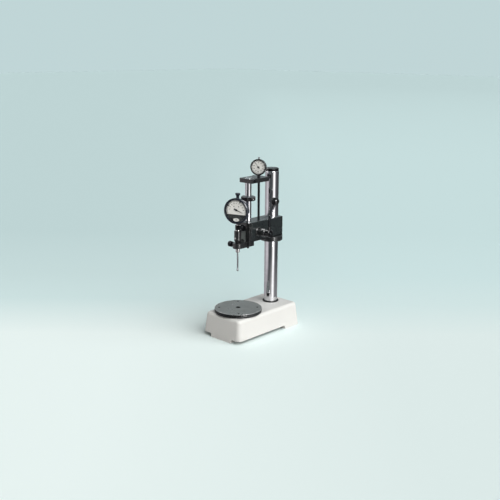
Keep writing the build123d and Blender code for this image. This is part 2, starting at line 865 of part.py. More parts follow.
def make_arm_screw():
    half = head_width / 2
    mid_z = (top_arm_z + top_arm_top_z) / 2
    shank = cross_post(slide_rod_radius, half, slide_rod_y, mid_z, arm_screw_radius)
    r = arm_screw_head_radius
    h = arm_screw_head_height
    profile = [(0, 0), (r, 0), (r, h / 2), (r - h / 2, h), (0, h)]
    head = Pos(half, slide_rod_y, mid_z) * Rot(0, 90, 0) * turned(profile)
    return shank + head


def make_dial_clamp_screw():
    half = head_width / 2
    mid_z = (top_arm_z + top_arm_top_z) / 2
    clamp_y = anvil_y + arm_clamp_behind
    shank_end = half - arm_screw_head_radius - free_gap
    shank = cross_post(-half - free_gap, shank_end, clamp_y, mid_z, arm_screw_radius)
    grip = knurled_disc(arm_clamp_head_radius, arm_clamp_head_length, knob_edge, knob_knurls,
                        knob_knurl_depth)
    return shank + Pos(-half - free_gap, clamp_y, mid_z) * Rot(0, -90, 0) * grip


# Stop collar
def make_stop_collar():
    h = stop_collar_height
    ring = knurled_disc(stop_collar_radius, h, stop_collar_edge, stop_knurls, stop_knurl_depth)
    ring -= post(0, 0, -overrun, h + overrun, slide_rod_radius + running_fit)
    ring -= cross_post(0, stop_collar_radius + overrun, 0, h / 2, stop_screw_radius + sliding_fit)
    return Pos(0, slide_rod_y, stop_collar_z) * ring


def make_stop_screw():
    z = stop_collar_z + stop_collar_height / 2
    high = stop_collar_radius + stop_screw_stand
    body = cross_post(high - stop_screw_length, high, slide_rod_y, z, stop_screw_radius)
    slot = stop_screw_radius / 4
    return body - block(high - stop_screw_stand, high + overrun, slide_rod_y - slot, slide_rod_y + slot,
                        z - stop_screw_radius, z + stop_screw_radius)


# Carriage
def holder_screw_levels():
    first = carriage_foot_z + holder_screw_above
    return [first + holder_screw_spacing * i for i in range(holder_screw_count)]


def make_carriage():
    half = head_width / 2
    low = carriage_foot_z
    rear_y = slide_rod_y + carriage_arm_rear_wall
    body = block(-half, half, plate_front_y, plate_rear_y, low + carriage_plate_rise, head_top_z)
    body = chamfer(body.edges().filter_by(Axis.Z).group_by(Axis.Y)[0], carriage_edge)
    arm = block(-probe_eye_radius, probe_eye_radius, probe_y, rear_y, low, carriage_arm_top_z)
    arm = fillet(arm.edges().filter_by(Axis.Z).group_by(Axis.Y)[-1], carriage_arm_corner)
    body += arm + post(0, probe_y, low, carriage_arm_top_z, probe_eye_radius)
    body -= post(0, slide_rod_y, carriage_arm_top_z - rod_seat_depth, head_top_z, slide_rod_radius)
    body -= post(0, slide_rod_y, low - overrun, carriage_arm_top_z, rod_screw_radius + free_gap)
    body -= post(0, probe_y, low - overrun, carriage_arm_top_z + overrun, guide_bush_radius)
    knob_y, knob_z = bush_knob_axis()
    body -= cross_post(-probe_eye_radius - overrun, 0, knob_y, knob_z, bush_knob_screw_radius + sliding_fit)
    for z in holder_screw_levels():
        body -= holder_screw_shape(z, sliding_fit)
    return body


def make_rod_screw():
    low = carriage_foot_z - rod_screw_head_height
    end = carriage_arm_top_z - rod_seat_depth + rod_screw_bite
    head = Pos(0, slide_rod_y, low) * chamfered_disc(rod_screw_head_radius, rod_screw_head_height, knob_edge)
    hexagon = RegularPolygon(rod_screw_head_radius / 2, 6)
    socket = Pos(0, slide_rod_y, low) * extrude(hexagon, rod_screw_head_height / 2)
    return head + post(0, slide_rod_y, carriage_foot_z, end, rod_screw_radius) - socket


def holder_screw_shape(z, allowance):
    # A countersunk screw driven forwards through the plate, its head flush with the plate's rear
    r = holder_screw_radius
    head = holder_screw_head_radius
    length = carriage_plate_thickness + holder_screw_bite
    profile = [(0, 0), (head, 0), (head, allowance), (r, holder_screw_head_height), (r, length), (0, length)]
    if allowance == 0:
        profile = [(0, 0), (head, 0), (r, holder_screw_head_height), (r, length), (0, length)]
    return Pos(0, plate_rear_y, z) * Rot(90, 0, 0) * turned(profile)


def make_holder_screws():
    screws = []
    for z in holder_screw_levels():
        slot = holder_screw_radius / 4
        head = holder_screw_head_radius
        groove_y = plate_rear_y - holder_screw_head_height / 2
        groove = block(-head, head, groove_y, plate_rear_y + overrun, z - slot, z + slot)
        screws.append(holder_screw_shape(z, 0) - groove)
    return Compound(children=screws)


# Gauge holder
def make_gauge_holder():
    foot = carriage_arm_top_z
    knee = foot + sleeve_taper_height
    bore = gauge_stem_radius
    sleeve = Pos(0, probe_y, 0) * turned([(bore, foot), (sleeve_foot_radius, foot), (sleeve_radius, knee),
                                          (sleeve_radius, sleeve_top_z), (bore, sleeve_top_z)])
    half = web_thickness / 2
    high = sleeve_top_z - web_top_below
    web = block(-half, half, probe_y, plate_front_y, foot, high)
    arch_y = (probe_y + plate_front_y) / 2
    arch_z = foot + web_arch_rise
    wide = half + overrun
    web -= cross_post(-wide, wide, arch_y - overrun, arch_z, web_arch_radius)
    web -= block(-wide, wide, probe_y - overrun, arch_y, foot - overrun, arch_z)
    body = sleeve + web
    body -= post(0, probe_y, foot - overrun, sleeve_top_z + overrun, bore)
    z = foot + sleeve_screw_above
    screw_hole = Rot(90, 0, 0) * Cylinder(sleeve_screw_radius, sleeve_radius * 2)
    body -= Pos(0, probe_y - sleeve_radius, z) * screw_hole
    for z in holder_screw_levels():
        body -= holder_screw_shape(z, 0)
    return body


def make_sleeve_screw():
    z = carriage_arm_top_z + sleeve_screw_above
    front = probe_y - sleeve_radius - sleeve_screw_stand
    rear = probe_y - gauge_stem_radius - free_gap
    body = Pos(0, (front + rear) / 2, z) * Rot(90, 0, 0) * Cylinder(sleeve_screw_radius, rear - front)
    slot = sleeve_screw_radius / 4
    slot_end = front + sleeve_screw_stand
    wide = sleeve_screw_radius
    return body - block(-wide, wide, front - overrun, slot_end, z - slot, z + slot)


def make_stem_nut():
    edge = knob_edge
    r = stem_nut_radius
    profile = [(gauge_stem_radius, 0), (r - edge, 0), (r, edge), (r, stem_nut_height - edge),
               (r - edge, stem_nut_height), (gauge_stem_radius, stem_nut_height)]
    return Pos(0, probe_y, sleeve_top_z) * turned(profile)


def stem_knob_level():
    return stem_nut_top_z + stem_knob_above


def make_stem_clamp():
    ring = Pos(0, probe_y, stem_nut_top_z) * chamfered_disc(stem_clamp_radius, stem_clamp_height, knob_edge)
    ring -= post(0, probe_y, stem_nut_top_z - overrun, stem_clamp_top_z + overrun, gauge_stem_radius)
    return ring - cross_post(0, stem_clamp_radius + overrun, probe_y, stem_knob_level(),
                             stem_knob_screw_radius + sliding_fit)


def make_stem_knob():
    z = stem_knob_level()
    start = stem_clamp_radius + face_gap
    neck_end = stem_clamp_radius + stem_knob_neck_length
    shank = cross_post(gauge_stem_radius + face_gap, neck_end, probe_y, z, stem_knob_screw_radius)
    neck = cross_post(start, neck_end, probe_y, z, stem_knob_neck_radius)
    grip = knurled_disc(stem_knob_radius, stem_knob_length, knob_edge, knob_knurls, knob_knurl_depth)
    return shank + neck + Pos(neck_end, probe_y, z) * Rot(0, 90, 0) * grip


# Guide bush of the probe and its clamp knob
def make_guide_bush():
    bore = probe_radius + running_fit
    low = carriage_foot_z - guide_nut_height
    knee = low + guide_nut_taper
    profile = [(bore, low), (guide_bush_radius, low), (guide_nut_radius, knee),
               (guide_nut_radius, carriage_foot_z), (guide_bush_radius, carriage_foot_z),
               (guide_bush_radius, carriage_arm_top_z), (bore, carriage_arm_top_z)]
    return Pos(0, probe_y, 0) * turned(profile)


def bush_knob_axis():
    return probe_y, (carriage_foot_z + carriage_arm_top_z) / 2


def make_bush_knob():
    y, z = bush_knob_axis()
    start = -probe_eye_radius - free_gap
    neck_end = start - bush_knob_neck_length
    shank = cross_post(neck_end, -guide_bush_radius - face_gap, y, z, bush_knob_screw_radius)
    neck = cross_post(neck_end, start, y, z, bush_knob_neck_radius)
    grip = knurled_disc(bush_knob_radius, bush_knob_length, knob_edge, knob_knurls, knob_knurl_depth)
    return shank + neck + Pos(neck_end, y, z) * Rot(0, -90, 0) * grip


# Probe and the gauge's plunger
def make_probe():
    low = probe_tip_z + probe_tip_height
    body = post(0, probe_y, low, plunger_foot_z, probe_radius)
    first = low + probe_step_pitch
    for i in range(probe_step_count):
        z = first + probe_step_pitch * i
        body += post(0, probe_y, z, z + probe_step_height, probe_step_radius)
    return body


def make_probe_tip():
    h = probe_tip_height
    r = probe_tip_radius
    seat = probe_ball_radius * probe_seat_share
    profile = [(0, seat), (probe_ball_radius, seat), (r, seat * 2), (r, h / 2), (probe_tip_neck_radius, h),
               (0, h)]
    body = Pos(0, probe_y, probe_tip_z) * turned(profile)
    ball = Pos(0, probe_y, probe_tip_z + probe_ball_radius) * Sphere(probe_ball_radius)
    return body + ball


def make_gauge_plunger():
    return post(0, probe_y, plunger_foot_z, gauge_high_z + lifting_knob_stand, plunger_radius)


def make_lifting_knob():
    low = gauge_high_z + lifting_knob_stand
    r0 = lifting_knob_low_radius
    r1 = lifting_knob_top_radius
    h = lifting_knob_height
    e = knob_edge
    profile = [(0, 0), (r0, 0), (r0, h - lifting_knob_neck), (r1, h - 3 * e), (r1, h - e), (r1 - e, h),
               (0, h)]
    return Pos(0, probe_y, low) * turned(profile)


# Frames of the two gauges: sketches lie in XZ, seen from the front, and +Z of the frame points at the reader
def gauge_frame(depth):
    base = Pos(0, probe_y, gauge_z) * Rot(0, 0, gauge_turn)
    return base * Pos(0, -gauge_face_ahead + depth, 0) * Rot(90, 0, 0)


def small_frame(depth):
    base = Pos(0, anvil_y, small_z) * Rot(0, 0, small_turn)
    return base * Pos(0, -small_face_ahead + depth, 0) * Rot(90, 0, 0)


def bezel_shape(radius, depth, lip, slope, bore):
    # Front face at zero, body towards -Z
    profile = [(radius - lip, 0), (radius - slope, 0), (radius, -slope), (radius, -depth), (bore, -depth),
               (bore, -slope), (radius - lip, -slope)]
    return turned(profile)


# Comparator gauge
def make_gauge_housing():
    r = gauge_housing_radius
    back = gauge_face_ahead + gauge_back_behind
    inner = r - gauge_wall
    e = gauge_housing_edge
    front = gauge_bezel_slope + gauge_crystal_thickness
    floor = -gauge_dial_depth - gauge_dial_thickness
    profile = [(0, -back), (r - e, -back), (r, -back + e), (r, -front), (inner, -front), (inner, floor),
               (0, floor)]
    body = gauge_frame(0) * turned(profile)
    hollow_back = -back + gauge_wall * 2
    hollow_front = floor - gauge_wall
    body -= gauge_frame(0) * turned([(0, hollow_back), (inner, hollow_back), (inner, hollow_front),
                                     (0, hollow_front)])
    recess = gauge_back_thickness
    body -= gauge_frame(0) * turned([(0, -back - overrun), (gauge_back_radius, -back - overrun),
                                     (gauge_back_radius, -back + recess), (0, -back + recess)])
    seat_low = gauge_low_z - gauge_stem_seat_height
    body += post(0, probe_y, seat_low, gauge_low_z + gauge_wall, gauge_stem_seat_radius)
    bore = plunger_radius + gauge_stem_bore_clear
    body -= post(0, probe_y, seat_low - overrun, gauge_high_z + overrun, bore)
    arbor = gauge_hub_above()
    body -= gauge_frame(0) * post(0, arbor, -gauge_face_ahead, 0, gauge_arbor_radius + sliding_fit)
    return body


def make_gauge_back():
    back = gauge_face_ahead + gauge_back_behind
    return gauge_frame(back) * post(0, 0, 0, gauge_back_thickness, gauge_back_radius)


def make_gauge_stem():
    low = plunger_foot_z - plunger_contact_above
    high = gauge_low_z - gauge_stem_seat_height
    return Pos(0, probe_y, low) * washer_shape(gauge_stem_radius, plunger_radius + running_fit, high - low)


def make_gauge_bezel():
    ring = bezel_shape(gauge_bezel_radius, gauge_bezel_depth, gauge_bezel_lip, gauge_bezel_slope,
                       gauge_housing_radius)
    return gauge_frame(0) * ring


def gauge_dial_radius():
    return gauge_housing_radius - gauge_wall


def gauge_mask_radius():
    return gauge_dial_radius() - limit_ring_width - face_gap


def gauge_hub_above():
    return gauge_dial_radius() * gauge_hub_above_share


def make_gauge_dial():
    r = gauge_dial_radius()
    dial = post(0, 0, -gauge_dial_thickness, 0, r)
    dial -= post(0, gauge_hub_above(), -overrun, overrun, gauge_arbor_radius + sliding_fit)
    return gauge_frame(gauge_dial_depth) * dial


def make_gauge_mask():
    # The dark lower part of the dial, below a straight edge
    r = gauge_mask_radius()
    top = -r * gauge_mask_drop_share
    plate = post(0, 0, 0, gauge_mask_thickness, r)
    plate -= block(-r - overrun, r + overrun, top, r + overrun, -overrun, overrun)
    return gauge_frame(gauge_dial_depth) * plate


def make_gauge_crystal():
    r = gauge_housing_radius - face_gap
    return gauge_frame(gauge_bezel_slope) * post(0, 0, -gauge_crystal_thickness, 0, r)


def pointer_shape(length, tail, half_width, hub_radius, thickness):
    # A tapered needle along +Y with a broad tail, on its hub
    waist = half_width * pointer_waist_share
    waist_at = length * pointer_waist_at_share
    outline = Polyline((0, length), (waist, waist_at), (half_width, -tail), (-half_width, -tail),
                       (-waist, waist_at), close=True)
    needle = extrude(make_face(outline), thickness)
    return needle + post(0, 0, 0, thickness * 2, hub_radius)


def make_gauge_pointer():
    needle = pointer_shape(gauge_pointer_length, gauge_pointer_tail, gauge_pointer_half_width,
                           gauge_pointer_hub_radius, gauge_pointer_thickness)
    depth = gauge_dial_depth - gauge_mask_thickness - gauge_pointer_gap
    arbor = post(0, 0, -gauge_dial_depth, gauge_pointer_thickness, gauge_arbor_radius)
    turned_pointer = Rot(0, 0, gauge_pointer_turn) * (needle + arbor)
    return gauge_frame(depth) * Pos(0, gauge_hub_above(), 0) * turned_pointer


def make_limit_mark(index):
    # A small pointed tab that stands in from a ring under the bezel
    r = gauge_dial_radius() - face_gap
    tab = make_face(Polyline((0, r - limit_mark_length), (limit_mark_half_width, r - limit_ring_width / 2),
                             (-limit_mark_half_width, r - limit_ring_width / 2), close=True))
    tab = extrude(tab, limit_mark_thickness)
    ring = washer_shape(r, r - limit_ring_width, limit_mark_thickness)
    lift = face_gap + index * (limit_mark_thickness + face_gap)
    turned_mark = Rot(0, 0, limit_mark_angles[index]) * (tab + ring)
    return gauge_frame(gauge_dial_depth) * Pos(0, 0, lift) * turned_mark


def zero_plate_drop():
    return gauge_mask_radius() - zero_plate_height / 2 - face_gap


def make_zero_plate():
    plate = Ellipse(zero_plate_width / 2, zero_plate_height / 2)
    body = extrude(plate, gauge_mask_thickness)
    body -= post(0, 0, -overrun, overrun, zero_screw_radius + sliding_fit)
    return gauge_frame(gauge_dial_depth - gauge_mask_thickness) * Pos(0, -zero_plate_drop(), 0) * body


def make_zero_screw():
    body = post(0, 0, 0, zero_screw_height, zero_screw_radius)
    slot = zero_screw_radius / 4
    body -= block(-zero_screw_radius, zero_screw_radius, -slot, slot, zero_screw_height / 2, overrun)
    return gauge_frame(gauge_dial_depth - gauge_mask_thickness) * Pos(0, -zero_plate_drop(), 0) * body


# Small dial gauge
def make_small_housing():
    r = small_housing_radius
    back = small_face_ahead + small_back_behind
    e = small_housing_edge
    inner = r - small_wall
    floor = -small_dial_depth - small_dial_thickness
    front = small_bezel_slope + free_gap
    profile = [(0, -back), (r - e, -back), (r, -back + e), (r, -front), (inner, -front), (inner, floor),
               (0, floor)]
    body = small_frame(0) * turned(profile)
    body -= small_frame(0) * turned([(0, -back + small_wall * 2), (inner, -back + small_wall * 2),
                                     (inner, floor - small_wall), (0, floor - small_wall)])
    body -= small_frame(0) * turned([(0, -back - overrun), (small_back_radius, -back - overrun),
                                     (small_back_radius, -back + small_back_thickness),
                                     (0, -back + small_back_thickness)])
    seat_z = small_high_z + small_cap_seat_height
    body += post(0, anvil_y, small_high_z - small_wall, seat_z, small_cap_seat_radius)
    body -= post(0, anvil_y, small_low_z - overrun, seat_z + overrun, small_plunger_radius + sliding_fit)
    body -= small_frame(0) * post(0, 0, -small_face_ahead, 0, gauge_arbor_radius + sliding_fit)
    return body


def make_small_back():
    back = small_face_ahead + small_back_behind
    return small_frame(back) * post(0, 0, 0, small_back_thickness, small_back_radius)


def make_small_stem():
    low = small_stem_end_z
    root = small_low_z + small_wall / 2
    bore = small_plunger_radius + sliding_fit
    body = Pos(0, anvil_y, low) * washer_shape(small_stem_radius, bore, root - low)
    room = small_frame(0) * turned([(0, -small_face_ahead * 2), (small_housing_radius, -small_face_ahead * 2),
                                    (small_housing_radius, 0), (0, 0)])
    return body - room


def make_small_bezel():
    profile_ring = bezel_shape(small_bezel_radius, small_bezel_depth, small_bezel_lip, small_bezel_slope,
                               small_housing_radius + running_fit)
    star = knurled_disc(small_bezel_radius, small_bezel_depth, small_bezel_slope / 4, small_bezel_knurls,
                        small_bezel_knurl_depth)
    return small_frame(0) * (profile_ring & Pos(0, 0, -small_bezel_depth) * star)


def make_small_crystal():
    r = small_housing_radius - small_wall
    return small_frame(small_crystal_depth) * post(0, 0, -small_crystal_thickness, 0, r)


def make_small_dial():
    r = small_housing_radius - small_wall
    dial = post(0, 0, -small_dial_thickness, 0, r)
    dial -= post(0, 0, -overrun, overrun, gauge_arbor_radius + sliding_fit)
    return small_frame(small_dial_depth) * dial


def make_small_pointer():
    needle = pointer_shape(small_pointer_length, small_pointer_tail, small_pointer_half_width,
                           small_pointer_hub_radius, small_pointer_thickness)
    arbor = post(0, 0, -small_dial_depth, small_pointer_thickness, gauge_arbor_radius)
    depth = small_dial_depth - small_pointer_gap
    return small_frame(depth) * Rot(0, 0, small_pointer_turn) * (needle + arbor)


def make_small_plunger():
    foot = anvil_top_z + face_gap
    tip_top = foot + small_plunger_tip_height
    low = small_high_z + small_cap_seat_height + face_gap
    tip = post(0, anvil_y, foot, tip_top, small_plunger_tip_radius)
    rod = post(0, anvil_y, tip_top, low, small_plunger_radius)
    cap = chamfered_disc(small_plunger_cap_radius, small_plunger_cap_height, knob_edge / 2)
    return rod + tip + Pos(0, anvil_y, low) * cap


# Every node and the function that makes it
nodes = {
    "base_casting": make_base_casting,
    "table": make_table,
    "table_screws": make_table_screws,
    "column": make_column,
    "column_cap": make_column_cap,
    "column_foot_ring": make_column_foot_ring,
    "column_bolt": make_column_bolt,
    "support_collar": make_support_collar,
    "collar_screw": make_collar_screw,
    "head_body": make_head_body,
    "head_clamp_nut": make_head_clamp_nut,
    "head_clamp_knob": make_head_clamp_knob,
    "pinion_housing": make_pinion_housing,
    "pinion_bushes": make_pinion_bushes,
    "pinion_shaft": make_pinion_shaft,
    "lever_hub": make_lever_hub,
    "lever_rod": make_lever_rod,
    "lever_ball": make_lever_ball,
    "hub_screw": make_hub_screw,
    "anvil_rod": make_anvil_rod,
    "slide_rod": make_slide_rod,
    "top_arm": make_top_arm,
    "arm_screw": make_arm_screw,
    "dial_clamp_screw": make_dial_clamp_screw,
    "stop_collar": make_stop_collar,
    "stop_screw": make_stop_screw,
    "carriage": make_carriage,
    "rod_screw": make_rod_screw,
    "holder_screws": make_holder_screws,
    "gauge_holder": make_gauge_holder,
    "sleeve_screw": make_sleeve_screw,
    "stem_nut": make_stem_nut,
    "stem_clamp": make_stem_clamp,
    "stem_knob": make_stem_knob,
    "guide_bush": make_guide_bush,
    "bush_knob": make_bush_knob,
    "probe": make_probe,
    "probe_tip": make_probe_tip,
    "gauge_plunger": make_gauge_plunger,
    "lifting_knob": make_lifting_knob,
    "gauge_housing": make_gauge_housing,
    "gauge_back": make_gauge_back,
    "gauge_stem": make_gauge_stem,
    "gauge_bezel": make_gauge_bezel,
    "gauge_dial": make_gauge_dial,
    "gauge_mask": make_gauge_mask,
    "gauge_crystal": make_gauge_crystal,
    "gauge_pointer": make_gauge_pointer,
    "limit_mark_left": lambda: make_limit_mark(0),
    "limit_mark_right": lambda: make_limit_mark(1),
    "zero_plate": make_zero_plate,
    "zero_screw": make_zero_screw,
    "small_housing": make_small_housing,
    "small_back": make_small_back,
    "small_stem": make_small_stem,
    "small_bezel": make_small_bezel,
    "small_crystal": make_small_crystal,
    "small_dial": make_small_dial,
    "small_pointer": make_small_pointer,
    "small_plunger": make_small_plunger,
}

os.makedirs("parts", exist_ok=True)
for name, maker in nodes.items():
    export_step(maker(), "parts/" + name + ".step")
print(len(nodes), "nodes written")
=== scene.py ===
import json
import math

import bpy
from mathutils import Matrix, Vector


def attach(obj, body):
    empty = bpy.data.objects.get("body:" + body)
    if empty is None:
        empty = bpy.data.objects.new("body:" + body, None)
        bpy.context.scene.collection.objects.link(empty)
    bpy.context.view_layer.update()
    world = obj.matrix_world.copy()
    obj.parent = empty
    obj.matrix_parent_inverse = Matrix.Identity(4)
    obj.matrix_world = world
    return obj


# Comparator stand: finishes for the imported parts, the print on both dials, light and camera.
# Lengths are metres in the part's own frame: +Z up, -Y towards the operator and +X towards
# the ball lever.

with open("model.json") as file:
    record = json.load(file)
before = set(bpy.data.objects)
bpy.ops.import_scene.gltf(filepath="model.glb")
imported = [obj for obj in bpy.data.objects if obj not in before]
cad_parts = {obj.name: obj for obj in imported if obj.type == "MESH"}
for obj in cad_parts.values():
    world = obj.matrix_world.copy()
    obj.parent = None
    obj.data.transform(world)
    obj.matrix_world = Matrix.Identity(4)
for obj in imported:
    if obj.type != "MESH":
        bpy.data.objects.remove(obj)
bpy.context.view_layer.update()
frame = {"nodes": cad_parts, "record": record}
nodes = frame["nodes"]
print("frame loaded:", len(nodes), "nodes")


# Node helpers
def clearNodes(tree):
    for node in list(tree.nodes):
        tree.nodes.remove(node)


def newMaterial(name):
    material = bpy.data.materials.new(name)
    material.use_nodes = True
    tree = material.node_tree
    clearNodes(tree)
    output = tree.nodes.new("ShaderNodeOutputMaterial")
    shader = tree.nodes.new("ShaderNodeBsdfPrincipled")
    tree.links.new(shader.outputs["BSDF"], output.inputs["Surface"])
    return material, tree, shader


def newGroup(name, inputs, outputs):
    group = bpy.data.node_groups.new(name, "ShaderNodeTree")
    for socketName, kind, value in inputs:
        socket = group.interface.new_socket(socketName, in_out="INPUT", socket_type=kind)
        socket.default_value = value
    for socketName, kind in outputs:
        group.interface.new_socket(socketName, in_out="OUTPUT", socket_type=kind)
    start = group.nodes.new("NodeGroupInput")
    end = group.nodes.new("NodeGroupOutput")
    return group, start, end


def useGroup(tree, group, values):
    node = tree.nodes.new("ShaderNodeGroup")
    node.node_tree = group
    for key, value in values.items():
        node.inputs[key].default_value = value
    return node


def mathNode(tree, operation, first, second):
    node = tree.nodes.new("ShaderNodeMath")
    node.operation = operation
    for socket, value in zip(node.inputs, (first, second)):
        if isinstance(value, (int, float)):
            socket.default_value = value
        else:
            tree.links.new(value, socket)
    return node.outputs[0]


def vectorNode(tree, operation, first, second=None):
    # The second operand is a socket or a plain tuple
    node = tree.nodes.new("ShaderNodeVectorMath")
    node.operation = operation
    tree.links.new(first, node.inputs[0])
    if isinstance(second, tuple):
        node.inputs[1].default_value = second
    elif second is not None:
        tree.links.new(second, node.inputs[1])
    scalar = operation in ("DOT_PRODUCT", "LENGTH", "DISTANCE")
    return node.outputs["Value" if scalar else "Vector"]


def mapValue(tree, value, span, low, high):
    # Turns a value inside the span into one between low and high
    node = tree.nodes.new("ShaderNodeMapRange")
    tree.links.new(value, node.inputs["Value"])
    node.inputs["From Min"].default_value = span[0]
    node.inputs["From Max"].default_value = span[1]
    node.inputs["To Min"].default_value = low
    node.inputs["To Max"].default_value = high
    return node.outputs["Result"]


def mixColour(tree, mask, first, second):
    node = tree.nodes.new("ShaderNodeMix")
    node.data_type = "RGBA"
    tree.links.new(mask, node.inputs["Factor"])
    for index, value in ((6, first), (7, second)):  # the two colour inputs of a Mix node
        if isinstance(value, tuple):
            node.inputs[index].default_value = (*value, 1)
        else:
            tree.links.new(value, node.inputs[index])
    return node.outputs[2]


def objectPlace(tree):
    return tree.nodes.new("ShaderNodeTexCoord").outputs["Object"]


def splitAxes(tree, vector):
    node = tree.nodes.new("ShaderNodeSeparateXYZ")
    tree.links.new(vector, node.inputs[0])
    return node.outputs


def flatDistance(tree, place, point):
    # How far a place is from an upright line through the point
    flat = vectorNode(tree, "MULTIPLY", place, (1, 1, 0))
    return vectorNode(tree, "DISTANCE", flat, (point[0], point[1], 0))


def azimuth(tree, vector):
    # Degrees round the upright, counted from +X
    axes = splitAxes(tree, vector)
    turn = mathNode(tree, "ARCTAN2", axes["Y"], axes["X"])
    return mathNode(tree, "MULTIPLY", turn, 180 / math.pi)


def bumpFrom(tree, height, distance, strength, normal=None):
    bump = tree.nodes.new("ShaderNodeBump")
    bump.inputs["Distance"].default_value = distance
    bump.inputs["Strength"].default_value = strength
    tree.links.new(height, bump.inputs["Height"])
    if normal is not None:
        tree.links.new(normal, bump.inputs["Normal"])
    return bump.outputs["Normal"]


def feed(tree, shader, sources):
    for name, source in sources.items():
        tree.links.new(source, shader.inputs[name])


# Shared effects
edgeEffect = {"samples": 6, "gain": 6.0, "flawScale": 260, "flawDetail": 4,
              "flawSpan": (0.42, 0.62), "flawMask": (0.15, 1.0)}


def makeEdgeGroup(effect):
    # Rounded edge normals, and a broken mask along the edges
    group, start, end = newGroup(
        "edgeWear",
        [("Radius", "NodeSocketFloat", 0.0006), ("Spread", "NodeSocketFloat", 0.5)],
        [("Mask", "NodeSocketFloat"), ("Normal", "NodeSocketVector")])
    bevel = group.nodes.new("ShaderNodeBevel")
    bevel.samples = effect["samples"]
    group.links.new(start.outputs["Radius"], bevel.inputs["Radius"])
    geometry = group.nodes.new("ShaderNodeNewGeometry")
    along = vectorNode(group, "DOT_PRODUCT", bevel.outputs["Normal"], geometry.outputs["Normal"])
    bend = mathNode(group, "SUBTRACT", 1.0, along)
    bend = mathNode(group, "MULTIPLY", bend, effect["gain"])
    flaws = group.nodes.new("ShaderNodeTexNoise")
    flaws.inputs["Scale"].default_value = effect["flawScale"]
    flaws.inputs["Detail"].default_value = effect["flawDetail"]
    group.links.new(objectPlace(group), flaws.inputs["Vector"])
    broken = mapValue(group, flaws.outputs["Fac"], effect["flawSpan"], *effect["flawMask"])
    mask = mathNode(group, "MULTIPLY", bend, broken)
    mask = mathNode(group, "MULTIPLY", mask, start.outputs["Spread"])
    mask = mathNode(group, "MINIMUM", mask, 1.0)
    group.links.new(mask, end.inputs["Mask"])
    group.links.new(bevel.outputs["Normal"], end.inputs["Normal"])
    return group


mottleEffect = {"cloudDetail": 5, "cloudRoughness": 0.6, "peelDetail": 2}


def makeMottleGroup(effect):
    # Slow cloudy variation, and a fine orange-peel height
    group, start, end = newGroup(
        "paintMottle",
        [("Cloud Scale", "NodeSocketFloat", 18.0), ("Peel Scale", "NodeSocketFloat", 900.0)],
        [("Cloud", "NodeSocketFloat"), ("Peel", "NodeSocketFloat")])
    place = objectPlace(group)
    cloud = group.nodes.new("ShaderNodeTexNoise")
    cloud.inputs["Detail"].default_value = effect["cloudDetail"]
    cloud.inputs["Roughness"].default_value = effect["cloudRoughness"]
    peel = group.nodes.new("ShaderNodeTexNoise")
    peel.inputs["Detail"].default_value = effect["peelDetail"]
    for noise, name in ((cloud, "Cloud"), (peel, "Peel")):
        group.links.new(place, noise.inputs["Vector"])
        group.links.new(start.outputs[name + " Scale"], noise.inputs["Scale"])
        group.links.new(noise.outputs["Fac"], end.inputs[name])
    return group


turningEffect = {"detail": 3}


def makeTurningGroup(effect):
    # Fine rings round an axis through Centre: what a lathe or a grinder leaves
    group, start, end = newGroup(
        "turningMarks",
        [("Centre", "NodeSocketVector", (0, 0, 0)), ("Axis", "NodeSocketVector", (0, 0, 1)),
         ("Pitch", "NodeSocketFloat", 0.0006)],
        [("Rings", "NodeSocketFloat"), ("Steps", "NodeSocketFloat")])
    offset = vectorNode(group, "SUBTRACT", objectPlace(group), start.outputs["Centre"])
    along = vectorNode(group, "DOT_PRODUCT", offset, start.outputs["Axis"])
    across = vectorNode(group, "CROSS_PRODUCT", offset, start.outputs["Axis"])
    radius = vectorNode(group, "LENGTH", across)
    for value, name in ((radius, "Rings"), (along, "Steps")):
        turns = mathNode(group, "DIVIDE", value, start.outputs["Pitch"])
        noise = group.nodes.new("ShaderNodeTexNoise")
        noise.noise_dimensions = "1D"
        noise.inputs["Scale"].default_value = 1.0
        noise.inputs["Detail"].default_value = effect["detail"]
        group.links.new(turns, noise.inputs["W"])
        group.links.new(noise.outputs["Fac"], end.inputs[name])
    return group


edgeWear = makeEdgeGroup(edgeEffect)
paintMottle = makeMottleGroup(mottleEffect)
turningMarks = makeTurningGroup(turningEffect)
print("shared effects ready")


# Finishes. "rough" goes from the smoothest to the roughest place, "marks" and "peel" are the
# heights of the bumps, and "edge" is the radius that the light sees on sharp edges.
roughSpan = (0.3, 0.7)  # the part of the cloud over which a finish grows smoother


def mottleFor(tree, look):
    scales = {"Cloud Scale": look["cloudScale"]}
    if "peelScale" in look:
        scales["Peel Scale"] = look["peelScale"]
    return useGroup(tree, paintMottle, scales)


def edgeFor(tree, look):
    return useGroup(tree, edgeWear, {"Radius": look["edge"], "Spread": look["wear"]})


def marksFor(tree, look):
    return useGroup(tree, turningMarks, {"Centre": look["centre"], "Axis": look["axis"],
                                         "Pitch": look["pitch"]})


def cloudRough(tree, mottle, look):
    smooth, rough = look["rough"]
    return mapValue(tree, mottle.outputs["Cloud"], roughSpan, rough, smooth)


